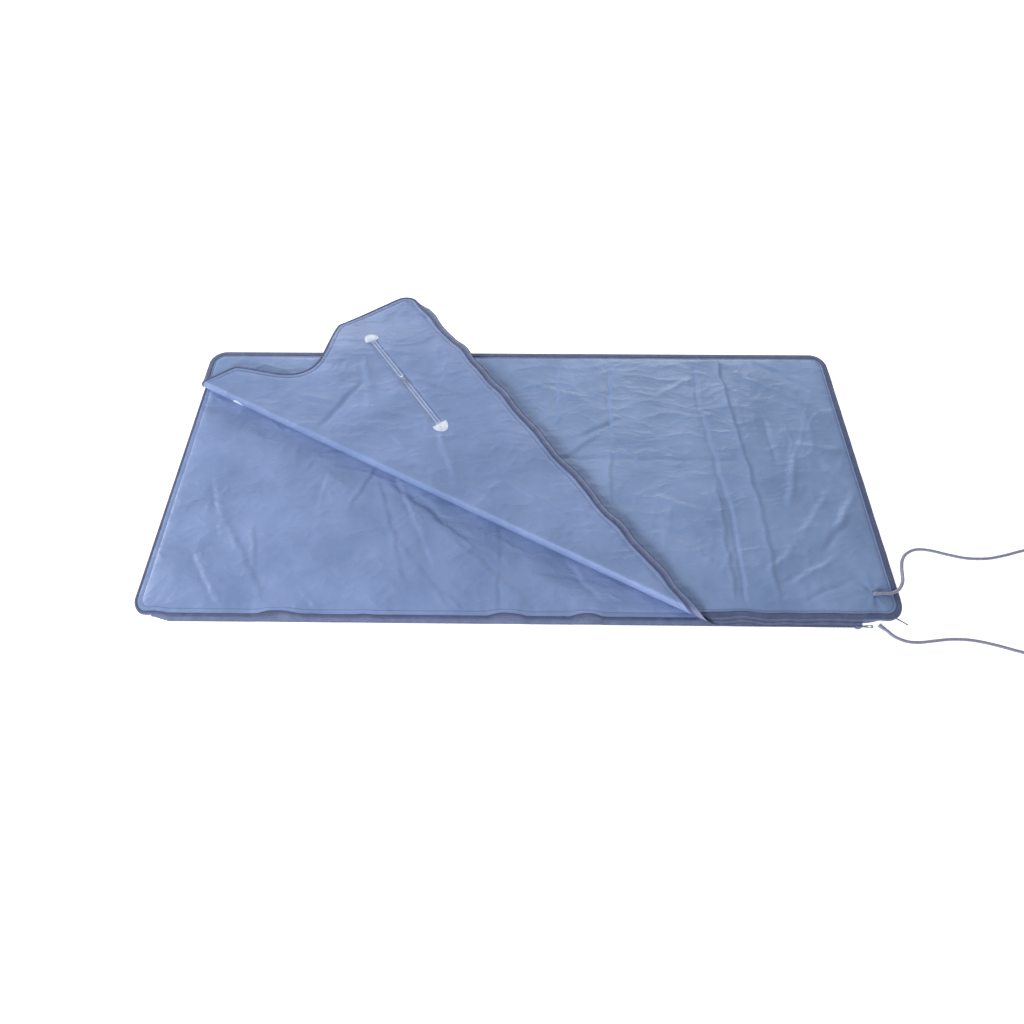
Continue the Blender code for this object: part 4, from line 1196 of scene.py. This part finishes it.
SLEEVE_RADIUS = 0.0052
cover_exit = Vector((*CORD_HOLE, COVER_TOP + SLEEVE_RADIUS + 0.0003))
bottom_exit = Vector((CORNER.x - 0.054, CORNER.y - 0.004, SLEEVE_RADIUS + 0.0003))
make_cord("cover", COVER_ROUTE, cover_exit, (0.445, 0.245), math.radians(40))
make_cord("bottom", BOTTOM_ROUTE, bottom_exit, (0.365, -0.030), math.radians(20))

# %% [markdown]
# ## Rows of stitches and teeth
# Stitches and zip teeth are the same small shape repeated along a line, so Geometry Nodes
# place them: the line is resampled at the pitch, one low-polygon bead stands for a stitch
# or a tooth, and the result is made real before anything else reads it.

# %% Row builder
def row_tree():
    """A node group that sets stretched beads along a curve."""
    tree = bpy.data.node_groups.new("row_of_beads", "GeometryNodeTree")
    sockets = {}
    for label, kind in (("Line", "NodeSocketGeometry"), ("Pitch", "NodeSocketFloat"),
                        ("Bead size", "NodeSocketVector"), ("Finish", "NodeSocketMaterial")):
        sockets[label] = tree.interface.new_socket(label, in_out="INPUT", socket_type=kind)
    tree.interface.new_socket("Row", in_out="OUTPUT", socket_type="NodeSocketGeometry")
    given = tree.nodes.new("NodeGroupInput")
    curve = add(tree, "GeometryNodeMeshToCurve", Mesh=given.outputs["Line"])
    spots = add(tree, "GeometryNodeCurveToPoints", {"mode": "LENGTH"},
                Curve=curve.outputs["Curve"], Length=given.outputs["Pitch"])
    turn = add(tree, "FunctionNodeAlignRotationToVector", {"axis": "X"},
               Vector=spots.outputs["Tangent"])
    bead = add(tree, "GeometryNodeMeshUVSphere", Segments=6, Rings=4, Radius=0.5)
    shaped = add(tree, "GeometryNodeTransform", Geometry=bead.outputs["Mesh"],
                 Scale=given.outputs["Bead size"])
    placed = add(tree, "GeometryNodeInstanceOnPoints", Points=spots.outputs["Points"],
                 Instance=shaped.outputs["Geometry"], Rotation=turn.outputs["Rotation"])
    real = add(tree, "GeometryNodeRealizeInstances", Geometry=placed.outputs["Instances"])
    painted = add(tree, "GeometryNodeSetMaterial", Geometry=real.outputs["Geometry"],
                  Material=given.outputs["Finish"])
    out = tree.nodes.new("NodeGroupOutput")
    tree.links.new(painted.outputs["Geometry"], out.inputs["Row"])
    return tree, {label: socket.identifier for label, socket in sockets.items()}


ROW_TREE, ROW_INPUTS = row_tree()


def bead_row(name, lines, pitch, size, finish, body):
    """One object of beads along several polylines, baked from the node group."""
    lines = [line for line in lines if len(line) > 1]
    source = bpy.data.meshes.new(f"{name}_line")
    points = [tuple(point) for line in lines for point in line]
    edges, offset = [], 0
    for line in lines:
        edges += [(offset + i, offset + i + 1) for i in range(len(line) - 1)]
        offset += len(line)
    source.from_pydata(points, edges, [])
    guide = in_scene(f"{name}_line", source)
    modifier = guide.modifiers.new("row", "NODES")
    modifier.node_group = ROW_TREE
    modifier[ROW_INPUTS["Pitch"]] = pitch
    modifier[ROW_INPUTS["Bead size"]] = size
    modifier[ROW_INPUTS["Finish"]] = finish
    evaluated = guide.evaluated_get(bpy.context.evaluated_depsgraph_get())
    mesh = bpy.data.meshes.new_from_object(evaluated)
    bpy.data.objects.remove(guide, do_unlink=True)
    mesh.name = name
    mesh.materials.clear()
    mesh.materials.append(finish)
    mesh.shade_smooth()
    piece = in_scene(name, mesh)
    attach(piece, body)
    print(name, len(mesh.polygons), "faces")
    return piece


def split_line(points):
    """Part a flat line on the cover into what stays and what turns, bent round the fold."""
    points = np.asarray(points, float)
    past = past_fold(points[:, 0], points[:, 1])
    turned_over = past > ROLL_LENGTH / 2
    placed = wrap(points)
    placed[turned_over] = settle(placed[turned_over])
    changes = np.flatnonzero(np.diff(turned_over.astype(int))) + 1
    stays_put, turns_over = [], []
    for run in np.split(np.arange(len(points)), changes):
        (turns_over if turned_over[run[0]] else stays_put).append(placed[run])
    return stays_put, turns_over


def cover_rows(label, lines, pitch, size, finish):
    """Beads along flat lines of the cover: one piece that stays and one that turns."""
    parted = [split_line(line) for line in lines]
    return [bead_row(f"{prefix}_{label}", sum((runs[part] for runs in parted), []), pitch, size,
                     finish, body)
            for part, (prefix, body) in enumerate((("cover", "root"), ("flap", "cover_flap")))]


# %% Stitches
STITCH_PITCH = 0.0042            # a long upholstery stitch, as on quilted covers
STITCH_SIZE = (0.0031, 0.0012, 0.0008)


def edge_line(outline, inset, height, lift):
    """A closed line at some distance inside the edge, on the cloth."""
    x, y = (outline + inwards(outline) * inset).T
    z = height(x, y, np.full(len(x), inset)) + lift
    line = np.stack([x, y, z], axis=1)
    return np.vstack([line, line[:1]])


bottom_rows = [bottom_sway(edge_line(bottom_outline, inset, bottom_top, lift))
               for inset, lift in ((BINDING - 0.0018, TAPE + 0.0001), (SEAM, 0.0001))]
bead_row("bottom_stitches", bottom_rows, STITCH_PITCH, STITCH_SIZE, stitch_thread, "root")
seams = [edge_line(cover_outline, inset, height, lift * sign)
         for height, sign, leg in ((cover_top, 1, COVER_LEG), (cover_lining, -1, BINDING))
         for inset, lift in ((leg - 0.0018, TAPE + 0.0001), (SEAM + 0.002 * sign, 0.0001))]
cover_rows("stitches", seams, STITCH_PITCH, STITCH_SIZE, stitch_thread)

# %% [markdown]
# ## Side zip
# Each panel carries half of the zip along its near edge: a woven tape sewn under the
# binding, and a row of coiled teeth on its outer lip. The tape's waves follow the cloth.

# %% Side zip tapes
zip_low, zip_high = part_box("bottom_zip_tape")
ZIP_FIRST, ZIP_LAST = zip_low.x, zip_high.x
ZIP_REACH = -zip_low.y - WIDTH / 2
BOTTOM_ZIP_Z = (zip_low.z + zip_high.z) / 2
COVER_ZIP_Z = (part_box("cover_zip_tape")[0].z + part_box("cover_zip_tape")[1].z) / 2
TOOTH_Y = -WIDTH / 2 - ZIP_REACH - 0.0004
TOOTH_SIZE = (0.0012, 0.0030, 0.0022)
TOOTH_PITCH = 0.0018
TAPE_STITCH_PITCH = 0.0036
STRIP_STEP = 0.006               # between two sections of a tape
along = np.arange(ZIP_FIRST, ZIP_LAST, STRIP_STEP)
toothed = along > ZIP_FIRST + 0.036


def zip_tape_mesh(middle, droop):
    """A thin closed strip that starts inside the binding and ends at the teeth."""
    sections = []
    for place, height in zip(along, middle):
        over, below = [], []
        grown = float(smooth_step(place, ZIP_FIRST - 0.002, ZIP_FIRST + 0.045))
        for share in (0.0, 0.35, 0.7, 1.0):
            y = -WIDTH / 2 + 0.0100 - (ZIP_REACH * (0.05 + 0.95 * grown) + 0.0100) * share
            z = height - droop * share ** 2
            over.append(Vector((place, y, z + 0.00045)))
            below.append(Vector((place, y, z - 0.00045)))
        sections.append(over + below[::-1])
    return swept(sections, closed=False)


def toothed_line(y, height):
    """The part of the near edge that has teeth, at some place across and some height."""
    return np.stack([along, along * 0 + y, height], axis=1)[toothed]


middle = BOTTOM_ZIP_Z - 0.0012 + 0.35 * near_edge_wave(along, BOTTOM_EDGE_SEED)
bottom_tape = as_piece("bottom_side_tape", zip_tape_mesh(middle, 0.0022), [zip_fabric], "root")
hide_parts("bottom_zip_tape")
bottom_teeth = bead_row("bottom_side_teeth", [toothed_line(TOOTH_Y, middle - 0.0022)],
                        TOOTH_PITCH, TOOTH_SIZE, coil_nylon, "root")
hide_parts("bottom_zip_teeth")

middle = COVER_ZIP_Z + edge_wave(along, along * 0 - WIDTH / 2)
tapes = split_at_fold("side_tape", zip_tape_mesh(middle, 0.0010), [zip_fabric])
for prefix, tape in zip(("cover", "fold", "flap"), tapes):
    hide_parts(f"{prefix}_zip_tape")
teeth = cover_rows("side_teeth", [toothed_line(TOOTH_Y, middle - 0.0010)], TOOTH_PITCH,
                   TOOTH_SIZE, coil_nylon)
for prefix, row in zip(("cover", "flap"), teeth):
    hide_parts(f"{prefix}_zip_teeth")
cover_rows("tape_stitches", [toothed_line(-WIDTH / 2 - 0.0034, middle + side - 0.0002)
                             for side in (0.00075, -0.00075)],
           TAPE_STITCH_PITCH, STITCH_SIZE, stitch_thread)

# %% [markdown]
# ## Sliders and pulls
# A slider is a cast metal clamp, wide where the two rows of teeth part, with a bridge on its
# back that the pull hangs from. It is lofted from a few sections along its length.

# %% Slider and pull
LOFT_STEPS = 16


def lofted(stations):
    """A closed bmesh through rounded boxes: (x, half width, low, high) at each station."""
    sections = []
    for x, half, low, high in stations:
        middle, rise = (low + high) / 2, (high - low) / 2
        section = []
        for step in range(LOFT_STEPS):
            angle = 2 * math.pi * (step + 0.5) / LOFT_STEPS
            across, up = math.cos(angle), math.sin(angle)
            squared = (abs(across) ** 5 + abs(up) ** 5) ** -0.2
            section.append(Vector((x, half * across * squared, middle + rise * up * squared)))
        sections.append(section)
    return swept(sections, closed=False)


def joined(name, parts, place, materials, body):
    """Several closed bmeshes as one piece, put in place by a matrix."""
    whole = bmesh.new()
    for part in parts:
        spare = bpy.data.meshes.new(name)
        part.to_mesh(spare)
        part.free()
        whole.from_mesh(spare)
        bpy.data.meshes.remove(spare)
    whole.transform(place)
    return as_piece(name, whole, materials, body)


def slider(name, place, length, half, height, node, body):
    """A slider with its bridge; the zip runs along its own x, its back faces +z."""
    shapes = [(0.00, 0.55), (0.04, 0.72), (0.20, 0.90), (0.42, 1.00), (0.62, 0.96),
              (0.82, 0.74), (0.96, 0.60), (1.00, 0.46)]
    body_part = lofted([(length * (share - 0.5), half * wide,
                         height * (0.10 if share in (0.0, 1.0) else 0.0),
                         height * (0.80 if share in (0.0, 1.0) else 0.88))
                        for share, wide in shapes])
    bridge = lofted([(length * place_at, 0.0011, height * 0.7, height * top)
                     for place_at, top in ((-0.34, 0.98), (-0.30, 1.22), (-0.12, 1.42),
                                           (0.12, 1.42), (0.26, 1.22), (0.30, 0.98))])
    made = joined(name, [body_part, bridge], place, [lacquered_metal], body)
    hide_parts(node)
    return made


PULL_STEPS = 28


def pull(name, place, length, half, thickness, node, body):
    """A pull: a ring at its root, a waist, and a wider grip with a hole."""
    outline, hole = [], []
    shares, widths = zip((0.00, 0.42), (0.05, 0.66), (0.16, 0.74), (0.30, 0.52), (0.44, 0.62),
                         (0.70, 0.92), (0.90, 0.98), (0.98, 0.70), (1.00, 0.30))
    for step in range(PULL_STEPS + 1):
        share = 0.5 - 0.5 * math.cos(math.pi * step / PULL_STEPS)
        outline.append((length * share, half * float(np.interp(share, shares, widths))))
    loop = outline + [(x, -wide) for x, wide in outline[::-1]]
    middle = length * 0.76
    for x, y in loop:
        angle = math.atan2(y * length / half / 2, x - middle)
        hole.append((middle + 0.13 * length * math.cos(angle), 0.42 * half * math.sin(angle)))
    made = bmesh.new()
    rings = [[made.verts.new((x, y, z)) for x, y in line]
             for line, z in ((loop, -thickness / 2), (hole, -thickness / 2),
                             (hole, thickness / 2), (loop, thickness / 2))]
    for first, second in zip(rings, rings[1:] + rings[:1]):
        bridged(made, first, second)
    bmesh.ops.recalc_face_normals(made, faces=made.faces)
    made.transform(place)
    piece = as_piece(name, made, [lacquered_metal], body)
    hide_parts(node)
    return piece


side_low, side_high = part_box("side_zip_slider")
side_middle = (side_low + side_high) / 2
slider("side_slider", Matrix.Translation((side_middle.x, side_middle.y + 0.0005, side_low.z)),
       0.0155, 0.0056, side_high.z - side_low.z - 0.0012, "side_zip_slider", "side_zip_slider")
pull_low, pull_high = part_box("side_zip_pull")
pull("side_pull", Matrix.Translation((pull_low.x, (pull_low.y + pull_high.y) / 2,
                                      (pull_low.z + pull_high.z) / 2 + 0.0004)),
     pull_high.x - pull_low.x, 0.0042, 0.0011, "side_zip_pull", "side_zip_pull")

# %% [markdown]
# ## Arm zips
# Each arm opening is a slit with a coil zip, which opens from inside and outside. A pale
# tape is sewn over the slit on both faces, between two white half-round patches that stop
# the cloth from tearing at the ends. Patch and tape follow the cloth they are sewn to.

# %% Arm zip tapes
ARM_REACH = 0.0100               # how far the tape runs past the slit's ends
ARM_HALF = 0.0088                # half the width of the tape
ARM_BODY = {"near": "cover_flap", "far": "root"}
CALM = 0.2                       # inset for the cloth's height far from any edge


def placed(side, points):
    """Flat points of the cover at their place: the near arm's zip turns with the corner."""
    return settle(wrap(points)) if side == "near" else wrap(points)


def place_mesh(side, made):
    """Bend and turn a flat mesh with the cover."""
    moved(made, lambda points: placed(side, points))
    bmesh.ops.recalc_face_normals(made, faces=made.faces)
    return made


def arm_tape(side, face, y, height, sign):
    """The tape over the slit on one face, thicker along its sewn edges."""
    across = np.array([-1.0, -0.97, -0.80, -0.30, 0.30, 0.80, 0.97, 1.0])
    lift = np.array([0.0001, 0.0008, 0.0010, 0.0007, 0.0007, 0.0010, 0.0008, 0.0001])
    sections = []
    for x in np.arange(ARM_FIRST - ARM_REACH, ARM_LAST + ARM_REACH + 0.001, STRIP_STEP):
        spot_x, spot_y = across * 0 + x, y + across * ARM_HALF
        base = height(spot_x, spot_y, across * 0 + CALM)
        outside = np.stack([spot_x, spot_y, base + sign * lift], axis=1)
        inside = np.stack([spot_x, spot_y, base - sign * 0.0006], axis=1)
        sections.append([Vector(p) for p in np.vstack([outside, inside[::-1]])])
    return as_piece(f"{side}_arm_{face}_tape", place_mesh(side, swept(sections, closed=False)),
                    [arm_fabric], ARM_BODY[side])


def arm_rows(side, face, y, height, sign):
    """The coil in the middle of the tape and the stitches along its edges."""
    x = np.arange(ARM_FIRST - 0.004, ARM_LAST + 0.005, STRIP_STEP)
    made = []
    for label, aside, pitch, size, lift, finish, slot in (
            ("coil", 0.0007, 0.0015, (0.0010, 0.0022, 0.0014), 0.0009, pale_coil, "zip_teeth"),
            ("stitches", 0.0078, 0.0040, (0.0034, 0.0015, 0.0011), 0.0013, stitch_thread,
             "binding")):
        lines = []
        for across in (x * 0 + y - aside, x * 0 + y + aside):
            z = height(x, across, x * 0 + CALM) + sign * lift
            lines.append(placed(side, np.stack([x, across, z], axis=1)))
        made.append(bead_row(f"{side}_arm_{face}_{label}", lines, pitch, size, finish,
                             ARM_BODY[side]))
    return made


# %% [markdown]
# A patch is a half-round scrap of white cloth with its edge turned in. It is built of rings
# that follow its outline inwards, each at its own height over the lining.

# %% Arm tabs
TAB_WIDTH = 0.042
TAB_DEPTH = 0.032


def tab_points(edge_x, y, direction, inset):
    """A half-round outline, drawn in by an inset."""
    across, depth = TAB_WIDTH / 2 - inset, TAB_DEPTH - inset
    turns = np.linspace(-np.pi / 2, np.pi / 2, 21)
    x = edge_x + direction * (inset * 0.6 + (depth - inset * 0.6) * np.cos(turns) ** 0.9)
    points = np.stack([x, y + across * np.sin(turns)], axis=1)
    closing = np.linspace(points[-1], points[0], 13)[1:-1]
    return np.vstack([points, closing])


def on_cloth(flat, rise):
    """Flat points of the cover, set on its lining."""
    z = cover_lining(flat[:, 0], flat[:, 1], flat[:, 0] * 0 + CALM) - rise
    return np.column_stack([flat, z])


def arm_tab(edge_x, y, direction):
    """A patch on the lining: a low dome with a turned-in edge, as a closed flat bmesh."""
    made = bmesh.new()
    rings = []
    for inset, rise in ((0.0004, -0.0006), (0.0, 0.0005), (0.0007, 0.0011), (0.0022, 0.0013),
                        (0.0032, 0.0010), (0.0048, 0.0012), (0.0085, 0.0013), (0.0125, 0.0013)):
        flat = tab_points(edge_x, y, direction, inset)
        rings.append([made.verts.new(place) for place in on_cloth(flat, rise)])
    for first, second in zip(rings, rings[1:]):
        bridged(made, first, second)
    made.faces.new(rings[0][::-1])
    last = rings[-1]
    hub = made.verts.new(sum((vert.co for vert in last), Vector()) / len(last))
    for corner, following in zip(last, last[1:] + last[:1]):
        made.faces.new((corner, following, hub))
    bmesh.ops.recalc_face_normals(made, faces=made.faces)
    return made


def tab_row(side, end, edge_x, y, direction):
    """The pale stitches round a patch."""
    line = on_cloth(tab_points(edge_x, y, direction, 0.0034), 0.0012)
    line = placed(side, np.vstack([line, line[:1]]))
    bead_row(f"{side}_{end}_patch_stitches", [line], 0.0034, (0.0026, 0.0008, 0.0007),
             pale_thread, ARM_BODY[side])


# %% Arm zips
for side, y in (("near", NEAR_ARM_Y), ("far", FAR_ARM_Y)):
    inner_tape = arm_tape(side, "inner", y, cover_lining, -1)
    arm_tape(side, "outer", y, cover_top, 1)
    inner_coil, _ = arm_rows(side, "inner", y, cover_lining, -1)
    arm_rows(side, "outer", y, cover_top, 1)
    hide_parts(f"{side}_arm_zip_tape")
    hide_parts(f"{side}_arm_zip_coil")
    for end, edge_x, direction in (("head", ARM_FIRST - ARM_REACH, -1),
                                   ("foot", ARM_LAST + ARM_REACH, 1)):
        made = arm_tab(edge_x, y, direction)
        if (side, end) == ("far", "head"):      # this patch lies across the fold
            patches = split_at_fold("arm_patch", made, [tab_fabric])
        else:
            patches = [as_piece(f"{side}_{end}_patch", place_mesh(side, made), [tab_fabric],
                                ARM_BODY[side])]
            tab_row(side, end, edge_x, y, direction)
        for patch in patches:
            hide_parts(f"{side}_arm_tab_{end}")

# %% [markdown]
# The two arm sliders sit on the lining's side of their zips. Only the near one has a loose
# pull, which hangs from its bridge.

# %% Arm sliders
def on_lining(side, x, y):
    """A matrix at a place on the lining: x along the zip, z away from the cloth."""
    face = float(cover_lining(np.array([x]), np.array([y]), np.array([CALM]))[0])
    place = Matrix.Translation((x, y, face - 0.0004)) @ Matrix.Rotation(math.pi, 4, "X")
    return HALF_TURN @ place if side == "near" else place


near_slider_low, near_slider_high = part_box("near_arm_slider")
at_slider = HALF_TURN.inverted() @ ((near_slider_low + near_slider_high) / 2)
near_place = on_lining("near", at_slider.x, NEAR_ARM_Y)
slider("near_arm_zip_slider", near_place, 0.0210, 0.0068, 0.0031, "near_arm_slider",
       "near_arm_slider")
pull("near_arm_zip_pull", near_place @ Matrix.Translation((0, 0, 0.0036)), 0.0240, 0.0040,
     0.0011, "near_arm_pull", "near_arm_pull")
far_slider_low, far_slider_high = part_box("far_arm_slider")
far_at = (far_slider_low.x + far_slider_high.x) / 2
slider("far_arm_zip_slider", on_lining("far", far_at, FAR_ARM_Y), 0.0195, 0.0062, 0.0030,
       "far_arm_slider", "far_arm_slider")

# %% [markdown]
# ## Joining tape and the zip's loose end
# Along the far and foot sides a tape joins the two panels; it bellies out a little between
# its two sewn edges. At the near foot corner the zip's cut end sticks out and curls up.

# %% Joining tape
join_low, join_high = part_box("side_joining_tape")
edge_x, edge_y = bottom_outline.T
kept = ((edge_x > join_low.x + 0.004) & (edge_y > 0)
        | (edge_x > LENGTH / 2 - 0.003) & (edge_y > join_low.y + 0.04))
order = np.flatnonzero(kept)
breaks = np.flatnonzero(np.diff(order) > 1)
if len(breaks):                  # the outline's own start lies inside the tape's run
    order = np.concatenate([order[breaks[0] + 1:], order[:breaks[0] + 1]])
line, out = bottom_outline[order], -inwards(bottom_outline)[order]
travel = np.concatenate([[0], np.cumsum(np.linalg.norm(np.diff(line, axis=0), axis=1))])
sections = []
for (x, y), (nx, ny), gone in zip(line, out, travel):
    over, under = [], []
    for share in (0.0, 0.2, 0.5, 0.8, 1.0):
        belly = 0.0016 * math.sin(math.pi * share) + 0.0006 * float(
            noise(np.array([gone / 0.05]), np.array([share * 2.0]), 91.0)[0])
        z = join_low.z + (join_high.z - join_low.z) * share
        over.append(Vector((x + nx * (belly + 0.0015), y + ny * (belly + 0.0015), z)))
        under.append(Vector((x + nx * (belly + 0.0005), y + ny * (belly + 0.0005), z)))
    sections.append(over + under[::-1])
joining = as_piece("side_gusset", swept(sections, closed=False), [binding_tape], "root")
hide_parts("side_joining_tape")

# %% [markdown]
# The loose end is a flat strip of coil that twists and lifts as it leaves the corner.

# %% Zip's loose end
TAIL_STEPS = 12
tail_low, tail_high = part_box("corner_zip_tail")
tail_start = Vector((tail_low.x - 0.001, tail_high.y, tail_low.z + 0.0005))
tail_way = Vector((tail_high.x - tail_low.x, tail_low.y - tail_high.y, 0)).normalized()
tail_side = Vector((-tail_way.y, tail_way.x, 0))
sections = []
for step in range(TAIL_STEPS + 1):
    share = step / TAIL_STEPS
    middle = (tail_start + tail_way * 0.030 * share
              + Vector((0, 0, 0.0040 * share ** 2)) + tail_side * 0.0015 * math.sin(3 * share))
    twist = 0.9 * share
    flat = tail_side * math.cos(twist) + Vector((0, 0, math.sin(twist)))
    thick = Vector((0, 0, math.cos(twist))) - tail_side * math.sin(twist)
    sections.append([middle + flat * 0.0014 * a + thick * 0.0004 * b
                     for a, b in ((-1, -1), (1, -1), (1, 1), (-1, 1))])
tail = as_piece("zip_loose_end", swept(sections, closed=False), [coil_nylon], "root")
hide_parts("corner_zip_tail")

# %% [markdown]
# Two short bars of thread hold the cloth together on either side of the cord's hole.

# %% Stitches at the cord's hole
hole_lines = []
for aside in (-1, 1):
    y = CORD_HOLE[1] + aside * np.linspace(0.0045, 0.0090, 6)
    x = CORD_HOLE[0] + 0.0012 + 0.0010 * np.linspace(-1, 1, 6) ** 2
    hole_lines.append(np.stack([x, y, cover_top(x, y, x * 0 + CALM) + 0.0004], axis=1))
bead_row("cord_hole_stitches", hole_lines, 0.0010, (0.0011, 0.0030, 0.0012), stitch_thread,
         "root")

# %% [markdown]
# ## Floor and light
# A plain pale floor and large soft lamps make the blue nylon read as it does in a studio.
# The front lamp lights the fold's face, the others skim over the cloth, which draws its
# creases, and the floor gives off a little light of its own, so that it stays pale with only
# a trace of shadow. Colours are shown as they are, with no film curve over them.

# %% Floor
FLOOR_SIZE = 14.0
FLOOR_LEVEL = -0.0004
floor_mesh = bpy.data.meshes.new("floor")
half = FLOOR_SIZE / 2
floor_mesh.from_pydata([(x, y, FLOOR_LEVEL) for x, y in ((-half, -half), (half, -half),
                                                         (half, half), (-half, half))],
                       [], [(0, 1, 2, 3)])
floor_paint, _, _ = new_material("pale_floor", Base_Color=colour("#fbfbfc"), Roughness=0.85,
                                 Emission_Color=(1.0, 1.0, 1.0, 1.0), Emission_Strength=0.75)
floor_mesh.materials.append(floor_paint)
floor = in_scene("floor", floor_mesh)

# %% Light
def soft_lamp(name, place, aim, size, power):
    """A white panel of light that faces a point."""
    data = bpy.data.lights.new(name, "AREA")
    data.shape = "RECTANGLE"
    data.size, data.size_y = size
    data.energy = power
    lamp = in_scene(name, data)
    lamp.matrix_world = (Matrix.Translation(place)
                         @ (Vector(aim) - Vector(place)).to_track_quat("-Z", "Y")
                         .to_matrix().to_4x4())


soft_lamp("front_lamp", (-1.1, -2.7, 1.5), (0.2, 0.1, 0), (1.1, 0.8), 62)
soft_lamp("left_lamp", (-2.8, 0.5, 0.75), (0.1, 0, 0), (0.8, 0.6), 36)
soft_lamp("back_lamp", (1.1, 2.8, 1.2), (0.3, 0, 0), (1.1, 0.8), 36)
soft_lamp("back_left_lamp", (-1.3, 2.8, 1.1), (-0.4, 0, 0), (0.8, 0.6), 18)
world = bpy.data.worlds.new("studio")
world.use_nodes = True
background = world.node_tree.nodes["Background"]
background.inputs["Color"].default_value = (1.0, 1.0, 1.0, 1.0)
background.inputs["Strength"].default_value = 0.38
bpy.context.scene.world = world
bpy.context.scene.view_settings.view_transform = "Standard"
